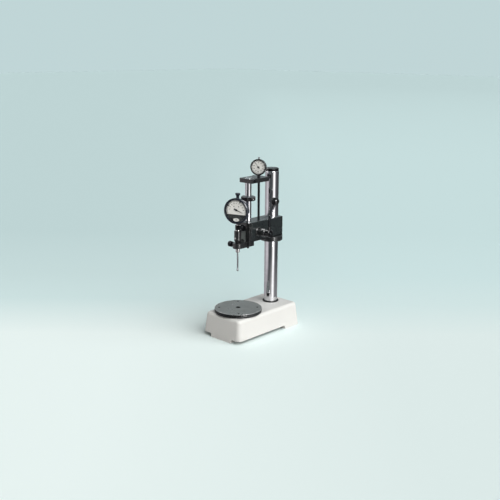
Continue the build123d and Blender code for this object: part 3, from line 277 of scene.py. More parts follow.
enamelBase = {"tintSpan": (0.35, 0.68), "peelStrength": 0.5, "coat": 0.0, "coatRough": 0.08,
              "topShadeSpan": (0.90, 0.999), "gapShade": (0.001, 0.001, 0.001)}
enamels = {
    # The base enamel darkens its upward faces a little: painted shade on the top
    "baseEnamel": {"colour": (0.74, 0.74, 0.715), "shade": (0.71, 0.71, 0.685),
                   "worn": (0.77, 0.77, 0.75), "topShade": (0.60, 0.60, 0.585),
                   "rough": (0.46, 0.58), "edge": 0.0009, "wear": 0.25,
                   "cloudScale": 9, "peelScale": 420, "peel": 0.00006},
    "blackEnamel": {"colour": (0.0195, 0.0215, 0.0225), "shade": (0.0145, 0.016, 0.017),
                    "worn": (0.10, 0.10, 0.105), "coat": 0.4,
                    "rough": (0.20, 0.32), "edge": 0.0007, "wear": 0.5,
                    "cloudScale": 22, "peelScale": 700, "peel": 0.00004},
    "navyEnamel": {"colour": (0.006, 0.011, 0.023), "shade": (0.004, 0.008, 0.017),
                   "worn": (0.08, 0.10, 0.17),
                   "rough": (0.30, 0.40), "edge": 0.0005, "wear": 0.5,
                   "cloudScale": 30, "peelScale": 800, "peel": 0.00003},
    "blackPlastic": {"colour": (0.006, 0.006, 0.007), "shade": (0.004, 0.004, 0.005),
                     "worn": (0.02, 0.02, 0.02),
                     "rough": (0.06, 0.10), "edge": 0.0005, "wear": 0.3,
                     "cloudScale": 40, "peelScale": 900, "peel": 0.00003},
}
# The head's enamel has a painted-shade band along its bottom edge, up to the height given here
enamels["headEnamel"] = {**enamels["blackEnamel"], "colour": (0.021, 0.027, 0.028),
                         "shade": (0.0155, 0.0205, 0.0215), "gapShadeTop": 0.2432}


def makeEnamel(name, ownLook):
    look = {**enamelBase, **ownLook}
    material, tree, shader = newMaterial(name)
    mottle = mottleFor(tree, look)
    edge = edgeFor(tree, look)
    cloud = mapValue(tree, mottle.outputs["Cloud"], look["tintSpan"], 0, 1)
    colour = mixColour(tree, cloud, look["shade"], look["colour"])
    colour = mixColour(tree, edge.outputs["Mask"], colour, look["worn"])
    if "topShade" in look:
        # Painted shade: faces that look straight up are made a little darker than the sides
        geometry = tree.nodes.new("ShaderNodeNewGeometry")
        facing = splitAxes(tree, geometry.outputs["Normal"])["Z"]
        upward = mapValue(tree, facing, look["topShadeSpan"], 0, 1)
        colour = mixColour(tree, upward, colour, look["topShade"])
    if "gapShadeTop" in look:
        # Painted shade: a dark band along the bottom of the piece, standing in for the shadowed
        # gap where it turns on the one below
        height = splitAxes(tree, objectPlace(tree))["Z"]
        inGapShade = mathNode(tree, "LESS_THAN", height, look["gapShadeTop"])
        colour = mixColour(tree, inGapShade, colour, look["gapShade"])
    feed(tree, shader, {
        "Base Color": colour,
        "Roughness": cloudRough(tree, mottle, look),
        "Normal": bumpFrom(tree, mottle.outputs["Peel"], look["peel"], look["peelStrength"],
                           edge.outputs["Normal"])})
    shader.inputs["Coat Weight"].default_value = look["coat"]
    shader.inputs["Coat Roughness"].default_value = look["coatRough"]
    return material


metalBase = {"centre": (0, -0.055, 0), "axis": (0, 0, 1), "cloudScale": 35, "wear": 0.5,
             "tintSpan": (0.35, 0.65), "edgeGain": 1.25, "edgeLift": 0.03, "markStrength": 0.6}
metals = {
    "columnChrome": {"colour": (0.80, 0.80, 0.82), "shade": (0.70, 0.70, 0.72),
                     "rough": (0.04, 0.09), "centre": (0, 0.071, 0),
                     "pitch": 0.0012, "marks": 0.000002, "edge": 0.0004},
    "rodChrome": {"colour": (0.80, 0.80, 0.82), "shade": (0.66, 0.66, 0.68),
                  "rough": (0.05, 0.12), "centre": (0, -0.0174, 0),
                  "pitch": 0.0008, "marks": 0.000003, "edge": 0.0003},
    "brightSteel": {"colour": (0.72, 0.71, 0.70), "shade": (0.50, 0.49, 0.48),
                    "rough": (0.16, 0.30), "pitch": 0.0004, "marks": 0.000008, "edge": 0.0003},
    "toolSteel": {"colour": (0.34, 0.35, 0.36), "shade": (0.22, 0.23, 0.24),
                  "rough": (0.24, 0.38), "pitch": 0.0005, "marks": 0.000008, "edge": 0.0002},
    "blackOxide": {"colour": (0.030, 0.031, 0.034), "shade": (0.018, 0.019, 0.021),
                   "rough": (0.26, 0.40), "centre": (0, 0, 0),
                   "pitch": 0.0006, "marks": 0.000006, "edge": 0.0005},
    "bronze": {"colour": (0.48, 0.30, 0.12), "shade": (0.33, 0.19, 0.07),
               "rough": (0.25, 0.40), "centre": (0, -0.001, 0.264), "axis": (1, 0, 0),
               "pitch": 0.0005, "marks": 0.000008, "edge": 0.0003},
}


def makeMetal(name, ownLook):
    look = {**metalBase, **ownLook}
    material, tree, shader = newMaterial(name)
    marks = marksFor(tree, look)
    mottle = mottleFor(tree, look)
    edge = edgeFor(tree, look)
    both = mathNode(tree, "ADD", marks.outputs["Rings"], marks.outputs["Steps"])
    cloud = mapValue(tree, mottle.outputs["Cloud"], look["tintSpan"], 0, 1)
    colour = mixColour(tree, cloud, look["shade"], look["colour"])
    bright = tuple(min(1.0, c * look["edgeGain"] + look["edgeLift"]) for c in look["colour"])
    feed(tree, shader, {
        "Base Color": mixColour(tree, edge.outputs["Mask"], colour, bright),
        "Roughness": cloudRough(tree, mottle, look),
        "Normal": bumpFrom(tree, both, look["marks"], look["markStrength"],
                           edge.outputs["Normal"])})
    shader.inputs["Metallic"].default_value = 1.0
    return material


lappedIron = {
    "face": (0.35, 0.345, 0.33), "patch": (0.28, 0.275, 0.265), "tintSpan": (0.38, 0.64),
    "side": (0.05, 0.051, 0.052), "topLevel": 0.0702, "worn": (0.30, 0.30, 0.295),
    "rim": (0.40, 0.40, 0.395), "rimReach": 0.0591, "rimLevel": 0.0695,
    "holeShade": (0.006, 0.006, 0.006), "boreReach": 0.0062,
    "holeCount": 4, "firstHole": 45, "holeCircle": 0.0485, "holeReach": 0.0029,
    "centre": (0, -0.0525, 0.071), "axis": (0, 0, 1), "pitch": 0.0005, "marks": 0.000005,
    "markStrength": 0.6, "rough": (0.24, 0.38), "cloudScale": 26, "edge": 0.0005, "wear": 0.6,
    "metallic": 0.9,
}


def makeLappedIron(look):
    # Lapped face, a paler rim that is a painted highlight along the top edge, dark sides, and
    # painted shade over the bore and each hole out to a given reach
    material, tree, shader = newMaterial("lappedIron")
    marks = marksFor(tree, look)
    mottle = mottleFor(tree, look)
    edge = edgeFor(tree, look)
    place = objectPlace(tree)
    height = splitAxes(tree, place)["Z"]
    middle = Vector(look["centre"])
    fromMiddle = flatDistance(tree, place, middle)
    # Painted shade: dark inside the bore and each hole, out to a given reach
    holeShade = mathNode(tree, "LESS_THAN", fromMiddle, look["boreReach"])
    for i in range(look["holeCount"]):
        turn = math.radians(look["firstHole"] + 360 * i / look["holeCount"])
        spot = middle + Vector((math.cos(turn), math.sin(turn), 0)) * look["holeCircle"]
        near = mathNode(tree, "LESS_THAN", flatDistance(tree, place, spot), look["holeReach"])
        holeShade = mathNode(tree, "MAXIMUM", holeShade, near)
    top = mathNode(tree, "GREATER_THAN", height, look["topLevel"])
    outside = mathNode(tree, "GREATER_THAN", fromMiddle, look["rimReach"])
    upper = mathNode(tree, "GREATER_THAN", height, look["rimLevel"])
    cloud = mapValue(tree, mottle.outputs["Cloud"], look["tintSpan"], 0, 1)
    colour = mixColour(tree, cloud, look["patch"], look["face"])
    colour = mixColour(tree, top, look["side"], colour)
    colour = mixColour(tree, edge.outputs["Mask"], colour, look["worn"])
    # Painted highlight: a paler ring along the top of the rim
    colour = mixColour(tree, mathNode(tree, "MULTIPLY", outside, upper), colour, look["rim"])
    feed(tree, shader, {
        "Base Color": mixColour(tree, holeShade, colour, look["holeShade"]),
        "Roughness": cloudRough(tree, mottle, look),
        "Normal": bumpFrom(tree, marks.outputs["Rings"], look["marks"], look["markStrength"],
                           edge.outputs["Normal"])})
    shader.inputs["Metallic"].default_value = look["metallic"]
    return material


holderFinish = {
    "web": (0.084, 0.094, 0.092), "webShade": (0.064, 0.072, 0.071), "rough": (0.24, 0.38),
    "sleeve": (0.026, 0.027, 0.028), "sleeveShade": (0.018, 0.018, 0.019), "sleeveRough": 0.11,
    "sleeveReach": 0.0090, "tintSpan": (0.35, 0.65), "centre": (0, -0.055, 0), "axis": (0, 0, 1),
    "pitch": 0.0004, "marks": 0.000006, "markStrength": 0.5, "cloudScale": 40,
    "edge": 0.0004, "wear": 0.5,
}


def makeHolderFinish(look):
    # Painted web that runs into the polished black sleeve
    material, tree, shader = newMaterial("holderFinish")
    marks = marksFor(tree, look)
    mottle = mottleFor(tree, look)
    edge = edgeFor(tree, look)
    fromAxis = flatDistance(tree, objectPlace(tree), look["centre"])
    sleeve = mathNode(tree, "LESS_THAN", fromAxis, look["sleeveReach"])
    cloud = mapValue(tree, mottle.outputs["Cloud"], look["tintSpan"], 0, 1)
    paint = mixColour(tree, cloud, look["webShade"], look["web"])
    steel = mixColour(tree, cloud, look["sleeveShade"], look["sleeve"])
    rough = cloudRough(tree, mottle, look)
    smoother = mathNode(tree, "SUBTRACT", rough, look["sleeveRough"])
    smoother = mathNode(tree, "MULTIPLY", sleeve, smoother)
    feed(tree, shader, {
        "Base Color": mixColour(tree, sleeve, paint, steel),
        "Roughness": mathNode(tree, "SUBTRACT", rough, smoother),
        "Normal": bumpFrom(tree, marks.outputs["Steps"], look["marks"], look["markStrength"],
                           edge.outputs["Normal"])})
    return material


cardBase = {"tintSpan": (0.3, 0.7), "cloudScale": 60, "peelScale": 2600, "peel": 0.00001,
            "peelStrength": 0.4, "specular": 0.25}
cardFinishes = {
    "dialWhite": {"colour": (0.95, 0.95, 0.92), "shade": (0.92, 0.92, 0.89),
                  "rough": (0.38, 0.48)},
    "dialBlack": {"colour": (0.008, 0.008, 0.009), "shade": (0.011, 0.011, 0.011),
                  "rough": (0.36, 0.46)},
    "ringBlack": {"colour": (0.003, 0.003, 0.003), "shade": (0.004, 0.004, 0.004),
                  "rough": (0.56, 0.66)},
    "inkBlack": {"colour": (0.010, 0.010, 0.011), "shade": (0.02, 0.02, 0.02),
                 "rough": (0.46, 0.56)},
}


def makeCardFinish(name, ownLook):
    # Flat coat with a very fine tooth: dial plates, their ink and the ring at the column's foot
    look = {**cardBase, **ownLook}
    material, tree, shader = newMaterial(name)
    mottle = mottleFor(tree, look)
    cloud = mapValue(tree, mottle.outputs["Cloud"], look["tintSpan"], 0, 1)
    feed(tree, shader, {
        "Base Color": mixColour(tree, cloud, look["shade"], look["colour"]),
        "Roughness": cloudRough(tree, mottle, look),
        "Normal": bumpFrom(tree, mottle.outputs["Peel"], look["peel"], look["peelStrength"])})
    shader.inputs["Specular IOR Level"].default_value = look["specular"]
    return material


clearGlass = {"tint": (1.0, 1.0, 0.99), "refraction": 1.34, "cloudScale": 50,
              "smearSpan": (0.45, 0.75), "smear": (0.0, 0.05)}


def makeGlass(look):
    # Clear crystal; shadow rays pass straight through it, so that the dial behind is lit
    material, tree, shader = newMaterial("clearGlass")
    shader.inputs["Base Color"].default_value = (*look["tint"], 1)
    shader.inputs["Transmission Weight"].default_value = 1.0
    shader.inputs["IOR"].default_value = look["refraction"]
    mottle = mottleFor(tree, look)
    smear = mapValue(tree, mottle.outputs["Cloud"], look["smearSpan"], *look["smear"])
    feed(tree, shader, {"Roughness": smear})
    path = tree.nodes.new("ShaderNodeLightPath")
    shadow, diffuse = path.outputs["Is Shadow Ray"], path.outputs["Is Diffuse Ray"]
    through = mathNode(tree, "MAXIMUM", shadow, diffuse)
    clear = tree.nodes.new("ShaderNodeBsdfTransparent")
    mix = tree.nodes.new("ShaderNodeMixShader")
    tree.links.new(through, mix.inputs["Fac"])
    tree.links.new(shader.outputs["BSDF"], mix.inputs[1])
    tree.links.new(clear.outputs["BSDF"], mix.inputs[2])
    output = next(node for node in tree.nodes if node.type == "OUTPUT_MATERIAL")
    tree.links.new(mix.outputs["Shader"], output.inputs["Surface"])
    return material


finishes = {name: makeEnamel(name, look) for name, look in enamels.items()}
finishes.update({name: makeMetal(name, look) for name, look in metals.items()})
finishes["lappedIron"] = makeLappedIron(lappedIron)
finishes["holderFinish"] = makeHolderFinish(holderFinish)
finishes.update({name: makeCardFinish(name, look) for name, look in cardFinishes.items()})
finishes["clearGlass"] = makeGlass(clearGlass)
print("finishes ready:", len(finishes))

finishOfSlot = {
    "base_paint": "baseEnamel", "table_iron": "lappedIron",
    "column_chrome": "columnChrome", "rod_chrome": "rodChrome",
    "black_enamel": "blackEnamel", "black_oxide": "blackOxide", "black_plastic": "blackPlastic",
    "bright_steel": "brightSteel", "bronze": "bronze", "tool_steel": "toolSteel",
    "gauge_navy": "navyEnamel", "dial_white": "dialWhite", "dial_black": "dialBlack",
    "clear_glass": "clearGlass",
}
finishOfNode = {  # parts whose finish differs from that of their slot
    "column_foot_ring": "ringBlack", "gauge_holder": "holderFinish", "head_body": "headEnamel",
    "stem_clamp": "blackPlastic", "stop_collar": "blackPlastic", "lever_hub": "blackPlastic",
    "zero_plate": "dialWhite",
}
slotOfNode = {part["node"]: part["material_slot"] for part in frame["record"]["subparts"]}
for nodeName, node in nodes.items():
    material = finishes[finishOfNode.get(nodeName, finishOfSlot[slotOfNode[nodeName]])]
    node.data.materials.clear()
    node.data.materials.append(material)
print("finishes on the packed parts")


# Dial print: thin raised ink on the dial plates, drawn flat and then stood up at the dial
inkShape = {"tickTaper": (0.86, 0.95), "dotSides": 32, "dotWall": 0.6, "dotTaper": 0.9,
            "capTaper": 0.72, "coarseEvery": 5, "arcOverlap": 1.02, "numberSteps": 4}
largeDial = {
    "axisPoint": (0, -0.055, 0.3225), "turn": 19, "ahead": 0.0082, "thick": 0.00008,
    "radius": 0.0256, "sweep": 104, "closed": False, "steps": 50,
    "fine": (0.0020, 0.00034), "coarse": (0.0034, 0.00060), "arc": 0.00040,
    "labels": [(str(abs(i) * 10), i * 20) for i in range(-4, 5)],
    "numberSize": 0.0042, "numberRadius": 0.0192,
    "dots": ((-0.0064, 0.0111), (0.0064, 0.0111)), "dotRadius": 0.0012,
    "handPoint": (0, -0.055, 0.324966),
    "capAhead": 0.0096, "capRadius": 0.0027, "capHeight": 0.0005,
}
smallDial = {
    "axisPoint": (0, 0.0212, 0.4224), "turn": 27, "ahead": 0.0056, "thick": 0.00006,
    "radius": 0.0164, "sweep": 180, "closed": True, "steps": 50,
    "fine": (0.0014, 0.00032), "coarse": (0.0026, 0.00064), "arc": 0.0,
    "labels": [(str(i * 10), i * 36) for i in range(10)],
    "numberSize": 0.0042, "numberRadius": 0.0114, "dots": (),
    "handPoint": (0, 0.0212, 0.4224),
    "capAhead": 0.0064, "capRadius": 0.0024, "capHeight": 0.0007,
}


def joinAs(things, name):
    bpy.ops.object.select_all(action="DESELECT")
    for thing in things:
        thing.select_set(True)
    bpy.context.view_layer.objects.active = things[0]
    bpy.ops.object.join()
    joined = bpy.context.view_layer.objects.active
    joined.name = name
    return joined


def makeTick(length, width, thick):
    # One raised bar of ink with sloping sides, upper end at the origin
    bpy.ops.object.select_all(action="DESELECT")
    bpy.ops.mesh.primitive_plane_add(size=1)
    tick = bpy.context.active_object
    tick.data.transform(Matrix.Diagonal((width, length, 1, 1)))
    tick.data.transform(Matrix.Translation((0, -length / 2, 0)))
    bpy.ops.object.mode_set(mode="EDIT")
    bpy.ops.mesh.select_all(action="SELECT")
    bpy.ops.mesh.extrude_region_move(TRANSFORM_OT_translate={"value": (0, 0, thick)})
    bpy.ops.transform.resize(value=(*inkShape["tickTaper"], 1))
    bpy.ops.mesh.select_all(action="SELECT")
    bpy.ops.mesh.normals_make_consistent(inside=False)
    bpy.ops.object.mode_set(mode="OBJECT")
    return tick


def makeDot(radius, height, taper):
    # A low round cap or a dot of ink: an upright wall, then an edge drawn in towards the top
    wall = height * inkShape["dotWall"]
    bpy.ops.object.select_all(action="DESELECT")
    bpy.ops.mesh.primitive_circle_add(
        vertices=inkShape["dotSides"], radius=radius, fill_type="NGON")
    dot = bpy.context.active_object
    bpy.ops.object.mode_set(mode="EDIT")
    bpy.ops.mesh.select_all(action="SELECT")
    bpy.ops.mesh.extrude_region_move(TRANSFORM_OT_translate={"value": (0, 0, wall)})
    bpy.ops.mesh.extrude_region_move(TRANSFORM_OT_translate={"value": (0, 0, height - wall)})
    bpy.ops.transform.resize(value=(taper, taper, 1))
    bpy.ops.mesh.select_all(action="SELECT")
    bpy.ops.mesh.normals_make_consistent(inside=False)
    bpy.ops.object.mode_set(mode="OBJECT")
    return dot


def copyTo(model, place):
    copy = model.copy()
    copy.data = model.data.copy()
    copy.data.transform(place)
    bpy.context.scene.collection.objects.link(copy)
    return copy


def makeNumber(text, size, x, y, thick):
    bpy.ops.object.text_add()
    number = bpy.context.active_object
    number.data.body = text
    number.data.size = size
    number.data.align_x = "CENTER"
    number.data.align_y = "CENTER"
    number.data.extrude = thick / 2
    number.data.resolution_u = inkShape["numberSteps"]
    bpy.ops.object.convert(target="MESH")
    number = bpy.context.active_object
    number.data.transform(Matrix.Translation((x, y, thick / 2)))
    return number


def standUp(piece, look, point, ahead):
    # From the drawing plane to the dial: X stays across, Y goes up, Z goes to the reader
    place = Matrix.Translation(point) @ Matrix.Rotation(math.radians(look["turn"]), 4, "Z")
    upright = Matrix.Rotation(math.radians(90), 4, "X")
    piece.data.transform(place @ Matrix.Translation((0, -ahead, 0)) @ upright)


def tickPlace(radius, turn):
    return Matrix.Rotation(-turn, 4, "Z") @ Matrix.Translation((0, radius, 0))


def makeDialTicks(name, look):
    count = look["steps"]
    step = math.radians(look["sweep"]) / count
    last = count if look["closed"] else count + 1  # the last tick of a full turn is the first
    fine = makeTick(*look["fine"], look["thick"])
    coarse = makeTick(*look["coarse"], look["thick"])
    models = [fine, coarse]
    ticks = []
    for i in range(-count, last):
        model = fine if i % inkShape["coarseEvery"] else coarse
        ticks.append(copyTo(model, tickPlace(look["radius"], i * step)))
    if look["arc"]:
        link = makeTick(look["arc"], look["radius"] * step * inkShape["arcOverlap"], look["thick"])
        models.append(link)
        for i in range(-count, count):
            ticks.append(copyTo(link, tickPlace(look["radius"], (i + 0.5) * step)))
    if look["dots"]:
        dot = makeDot(look["dotRadius"], look["thick"], inkShape["dotTaper"])
        models.append(dot)
        ticks += [copyTo(dot, Matrix.Translation((x, y, 0))) for x, y in look["dots"]]
    for model in models:
        bpy.data.objects.remove(model)
    piece = joinAs(ticks, name)
    standUp(piece, look, look["axisPoint"], look["ahead"])
    return piece


def makeDialNumbers(name, look):
    numbers = []
    for label, degrees in look["labels"]:
        turn = math.radians(degrees)
        x = look["numberRadius"] * math.sin(turn)
        y = look["numberRadius"] * math.cos(turn)
        numbers.append(makeNumber(label, look["numberSize"], x, y, look["thick"]))
    piece = joinAs(numbers, name)
    standUp(piece, look, look["axisPoint"], look["ahead"])
    return piece


def makeHandCap(name, look):
    # Turned black cap over the hub of a hand
    cap = makeDot(look["capRadius"], look["capHeight"], inkShape["capTaper"])
    cap.name = name
    standUp(cap, look, look["handPoint"], look["capAhead"])
    return cap


def finishPiece(piece, finish, body):
    piece.data.materials.clear()
    piece.data.materials.append(finishes[finish])
    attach(piece, body)


largeTicks = makeDialTicks("largeDialTicks", largeDial)
finishPiece(largeTicks, "inkBlack", "slide")
largeNumbers = makeDialNumbers("largeDialNumbers", largeDial)
finishPiece(largeNumbers, "inkBlack", "slide")
smallTicks = makeDialTicks("smallDialTicks", smallDial)
finishPiece(smallTicks, "inkBlack", "small_rim")
smallNumbers = makeDialNumbers("smallDialNumbers", smallDial)
finishPiece(smallNumbers, "inkBlack", "small_rim")
largeCap = makeHandCap("largeHandCap", largeDial)
finishPiece(largeCap, "blackPlastic", "large_pointer")
smallCap = makeHandCap("smallHandCap", smallDial)
finishPiece(smallCap, "blackPlastic", "small_hand")
print("dials printed")


# Floor and light. A tone or band is (place, red, green, blue): on the floor the place is
# metres towards the camera side, and on the cards it is degrees round the stand.
def rampAlong(tree, value, span, stops):
    low, high = span
    node = tree.nodes.new("ShaderNodeValToRGB")
    tree.links.new(mapValue(tree, value, span, 0, 1), node.inputs["Fac"])
    ramp = node.color_ramp
    while len(ramp.elements) < len(stops):
        ramp.elements.new(1.0)
    for element, stop in zip(ramp.elements, stops):  # all places first, then the colours
        element.position = (stop[0] - low) / (high - low)
    for element, stop in zip(ramp.elements, stops):
        element.color = (*stop[1:], 1)
    return node.outputs["Color"]


# The floor tones are painted light and shade on the paper: lighter towards the camera side, and
# lighter on the left over the stand's shadow
floorLook = {
    "size": 40, "forward": (0.68, -0.73, 0), "reach": (-1.2, 0.1), "rough": 0.9,
    "sideways": (0.73, 0.68, 0), "sideSpan": (-0.32, 0.32),
    "leftTones": ((-1.1, 0.557, 0.712, 0.722), (-0.5, 0.610, 0.765, 0.772),
                  (-0.25, 0.655, 0.815, 0.820), (0.04, 0.860, 0.965, 0.955)),
    "rightTones": ((-1.1, 0.614, 0.785, 0.795), (-0.5, 0.640, 0.812, 0.822),
                   (-0.2, 0.685, 0.838, 0.842), (0.04, 0.770, 0.885, 0.880)),
    "bounce": (0.74, 0.735, 0.72), "fade": (3.6, 14), "farTone": (0.557, 0.712, 0.722),
}


def makeFloor(look):
    # Tinted paper with painted light and shade: lighter where it comes forward, with separate left
    # and right fall-offs; near the stand the left is painted lighter over the stand's cast shadow
    # and the right darker as a soft shadow; it throws neutral light back on the object
    bpy.ops.mesh.primitive_plane_add(size=look["size"])
    floor = bpy.context.active_object
    floor.name = "floor"
    material, tree, shader = newMaterial("paleFloor")
    place = objectPlace(tree)
    forward = vectorNode(tree, "DOT_PRODUCT", place, look["forward"])
    sideways = vectorNode(tree, "DOT_PRODUCT", place, look["sideways"])
    left = rampAlong(tree, forward, look["reach"], look["leftTones"])
    right = rampAlong(tree, forward, look["reach"], look["rightTones"])
    paperWithPaintedLight = mixColour(tree, mapValue(tree, sideways, look["sideSpan"], 0, 1), left, right)
    away = flatDistance(tree, place, (0, 0, 0))
    paperWithPaintedLight = mixColour(tree, mapValue(tree, away, look["fade"], 0, 1), paperWithPaintedLight, look["farTone"])
    path = tree.nodes.new("ShaderNodeLightPath")
    paperWithPaintedLight = mixColour(tree, path.outputs["Is Diffuse Ray"], paperWithPaintedLight, look["bounce"])
    feed(tree, shader, {"Base Color": paperWithPaintedLight})
    shader.inputs["Roughness"].default_value = look["rough"]
    shader.inputs["Specular IOR Level"].default_value = 0.0
    floor.data.materials.append(material)
    return floor


def onlyReflect(card, shader):
    shader.inputs["Base Color"].default_value = (0, 0, 0, 1)
    shader.inputs["Roughness"].default_value = 1.0
    shader.inputs["Specular IOR Level"].default_value = 0.0
    card.visible_camera = False
    card.visible_diffuse = False
    card.visible_shadow = False
    card.visible_transmission = False


fullTurn = (-180, 180)
cardRing = {
    "centre": (0, 0.071, 0.0004), "reach": (0.17, 16), "sides": 90, "strength": 1.0,
    "blend": (0.32, 0.72),  # distance over which the near bands turn into the far ones
    "farBands": (
        (-180, 0.45, 0.44, 0.46), (-164, 0.36, 0.35, 0.37), (-150, 0.50, 0.48, 0.50),
        (-136, 0.63, 0.60, 0.63), (-114, 0.74, 0.71, 0.74), (-104, 0.60, 0.58, 0.61),
        (-94, 0.31, 0.31, 0.32), (-84, 0.12, 0.12, 0.13), (-75, 0.06, 0.065, 0.07),
        (-57, 0.08, 0.09, 0.095), (-44, 0.10, 0.11, 0.11), (-36, 0.18, 0.18, 0.18),
        (-30, 0.45, 0.45, 0.45), (-22, 1.10, 1.10, 1.10), (-14, 1.5, 1.5, 1.5),
        (1, 1.45, 1.45, 1.45), (7, 0.80, 0.80, 0.80), (13, 0.38, 0.38, 0.38),
        (22, 0.16, 0.16, 0.17), (35, 0.09, 0.09, 0.10), (67, 0.07, 0.075, 0.08),
        (110, 0.07, 0.075, 0.08), (131, 0.10, 0.11, 0.12), (150, 0.30, 0.31, 0.32),
        (180, 0.45, 0.44, 0.46)),
    "nearBands": (
        (-180, 0.40, 0.39, 0.41), (-164, 0.37, 0.36, 0.38), (-150, 0.42, 0.41, 0.43),
        (-136, 0.44, 0.42, 0.44), (-114, 0.26, 0.25, 0.27), (-104, 0.16, 0.16, 0.17),
        (-94, 0.085, 0.09, 0.095), (-84, 0.085, 0.09, 0.095), (-75, 0.11, 0.11, 0.12),
        (-57, 0.29, 0.29, 0.29), (-44, 0.46, 0.46, 0.46), (-36, 0.65, 0.65, 0.65),
        (-30, 0.90, 0.90, 0.90), (-22, 1.3, 1.3, 1.3), (-14, 1.4, 1.4, 1.4),
        (1, 1.05, 1.05, 1.05), (7, 0.60, 0.60, 0.60), (13, 0.38, 0.38, 0.38),
        (22, 0.25, 0.25, 0.26), (35, 0.22, 0.22, 0.23), (67, 0.26, 0.26, 0.27),
        (110, 0.24, 0.24, 0.25), (131, 0.26, 0.26, 0.27), (150, 0.33, 0.33, 0.34),
        (180, 0.40, 0.39, 0.41)),
}


def makeReflectedCards(look):
    # A ring of studio cards low over the floor, which only shows in reflections
    inner, outer = look["reach"]
    bpy.ops.object.select_all(action="DESELECT")
    bpy.ops.mesh.primitive_circle_add(vertices=look["sides"], radius=outer, fill_type="NOTHING")
    ring = bpy.context.active_object
    ring.name = "reflectedCards"
    bpy.ops.object.mode_set(mode="EDIT")
    bpy.ops.mesh.select_all(action="SELECT")
    bpy.ops.mesh.extrude_edges_move()
    bpy.ops.transform.resize(value=(inner / outer, inner / outer, 1))
    bpy.ops.object.mode_set(mode="OBJECT")
    ring.location = look["centre"]
    material, tree, shader = newMaterial("cardBands")
    place = objectPlace(tree)
    turn = azimuth(tree, place)
    away = vectorNode(tree, "LENGTH", place)
    near = rampAlong(tree, turn, fullTurn, look["nearBands"])
    far = rampAlong(tree, turn, fullTurn, look["farBands"])
    bands = mixColour(tree, mapValue(tree, away, look["blend"], 0, 1), near, far)
    feed(tree, shader, {"Emission Color": bands})
    shader.inputs["Emission Strength"].default_value = look["strength"]
    ring.data.materials.append(material)
    onlyReflect(ring, shader)
    return ring


def towardsLight(look):
    # Direction from the stand to a light at this angle round the stand and rise over the floor
    turn = math.radians(look["angle"])
    rise = math.radians(look["rise"])
    reach = math.cos(rise)
    return Vector((math.cos(turn) * reach, math.sin(turn) * reach, math.sin(rise)))


panels = {
    "sidePanel": {"angle": -16, "rise": 30, "away": 1.6, "width": 0.75, "height": 0.70,
                  "aim": (0, 0, 0.3), "colour": (1, 1, 1), "strength": 30},
    "topPanel": {"angle": 168, "rise": 48, "away": 1.6, "width": 0.7, "height": 0.5,
                 "aim": (0, 0, 0.3), "colour": (1, 1, 1), "strength": 7},
    "lowPanel": {"angle": -12, "rise": 0, "away": 0.9, "width": 0.06, "height": 0.12,
                 "aim": (0, 0, 0.061), "colour": (1, 1, 1), "strength": 26},
}


def makePanel(name, look):
    # A bright panel that faces the stand: the highlight on balls, rims and rounded edges
    bpy.ops.mesh.primitive_plane_add(size=1)
    panel = bpy.context.active_object
    panel.name = name
    towards = towardsLight(look)
    panel.location = Vector(look["aim"]) + towards * look["away"]
    panel.rotation_euler = towards.to_track_quat("Z", "Y").to_euler()
    panel.scale = (look["width"], look["height"], 1)
    material, tree, shader = newMaterial(name + "Light")
    shader.inputs["Emission Color"].default_value = (*look["colour"], 1)
    shader.inputs["Emission Strength"].default_value = look["strength"]
    panel.data.materials.append(material)
    onlyReflect(panel, shader)
    return panel


rightSun = {"angle": 5, "rise": 45, "away": 3, "spread": 76, "power": 3.25,
            "colour": (1, 1, 0.99)}


def makeSun(name, look):
    # One broad soft light; it isn't seen in reflections, where the cards stand for it
    sun = bpy.data.lights.new(name, "SUN")
    sun.energy = look["power"]
    sun.angle = math.radians(look["spread"])
    sun.color = look["colour"]
    holder = bpy.data.objects.new(name, sun)
    bpy.context.scene.collection.objects.link(holder)
    towards = towardsLight(look)
    holder.location = towards * look["away"]
    holder.rotation_euler = (-towards).to_track_quat("-Z", "Y").to_euler()
    holder.visible_glossy = False
    return holder


worldLook = {
    "backdrop": (0.53, 0.67, 0.68), "mirrored": (0.40, 0.46, 0.475), "horizon": (0.03, 0.20),
    "fill": (1.0, 0.99, 0.97), "fillStrength": 0.20,
}


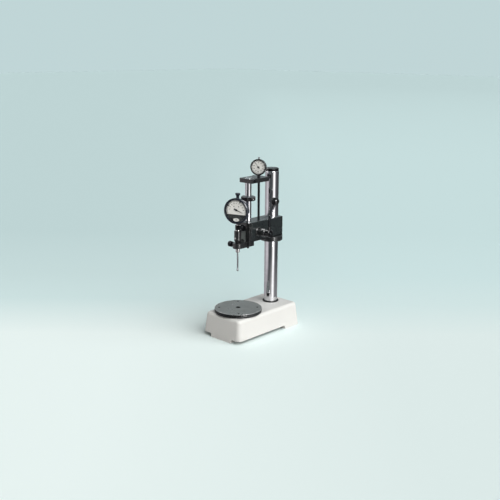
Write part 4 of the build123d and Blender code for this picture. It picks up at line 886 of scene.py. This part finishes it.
def makeWorld(look, lowBands):
    # A plain backdrop for the camera, the cards' bands low in reflections, and a soft fill
    world = bpy.data.worlds.new("studio")
    bpy.context.scene.world = world
    world.use_nodes = True
    tree = world.node_tree
    clearNodes(tree)
    output = tree.nodes.new("ShaderNodeOutputWorld")
    path = tree.nodes.new("ShaderNodeLightPath")
    towards = tree.nodes.new("ShaderNodeTexCoord").outputs["Generated"]
    height = mapValue(tree, splitAxes(tree, towards)["Z"], look["horizon"], 0, 1)
    low = rampAlong(tree, azimuth(tree, towards), fullTurn, lowBands)
    mirrored = mixColour(tree, height, low, look["mirrored"])
    glossy = path.outputs["Is Glossy Ray"]
    seen = tree.nodes.new("ShaderNodeBackground")
    feed(tree, seen, {"Color": mixColour(tree, glossy, look["backdrop"], mirrored)})
    seen.inputs["Strength"].default_value = 1.0
    fill = tree.nodes.new("ShaderNodeBackground")
    fill.inputs["Color"].default_value = (*look["fill"], 1)
    fill.inputs["Strength"].default_value = look["fillStrength"]
    shown = mathNode(tree, "MAXIMUM", path.outputs["Is Camera Ray"], glossy)
    shown = mathNode(tree, "MAXIMUM", shown, path.outputs["Is Transmission Ray"])
    mix = tree.nodes.new("ShaderNodeMixShader")
    tree.links.new(shown, mix.inputs["Fac"])
    tree.links.new(fill.outputs[0], mix.inputs[1])
    tree.links.new(seen.outputs[0], mix.inputs[2])
    tree.links.new(mix.outputs[0], output.inputs["Surface"])


makeWorld(worldLook, cardRing["farBands"])
makeFloor(floorLook)
makeSun("rightSun", rightSun)
makeReflectedCards(cardRing)
for panelName, panelLook in panels.items():
    makePanel(panelName, panelLook)
print("studio ready")

# The photograph's viewpoint; yaw, pitch and roll are in degrees
view = {"place": (1.30511, -1.40890, 0.7062), "yaw": 43.01, "pitch": 14.44, "roll": -0.35,
        "lens": 56.03, "sensor": 36, "farClip": 60}


def makeCamera(look):
    cameraData = bpy.data.cameras.new("camera")
    cameraData.lens = look["lens"]
    cameraData.sensor_width = look["sensor"]
    cameraData.clip_end = look["farClip"]
    camera = bpy.data.objects.new("camera", cameraData)
    bpy.context.scene.collection.objects.link(camera)
    turned = (Matrix.Rotation(math.radians(look["yaw"]), 3, "Z")
              @ Matrix.Rotation(math.radians(90 - look["pitch"]), 3, "X")
              @ Matrix.Rotation(math.radians(-look["roll"]), 3, "Z"))
    camera.location = look["place"]
    camera.rotation_euler = turned.to_euler()
    return camera


bpy.context.scene.camera = makeCamera(view)
bpy.context.scene.view_settings.view_transform = "Standard"
print("camera set")
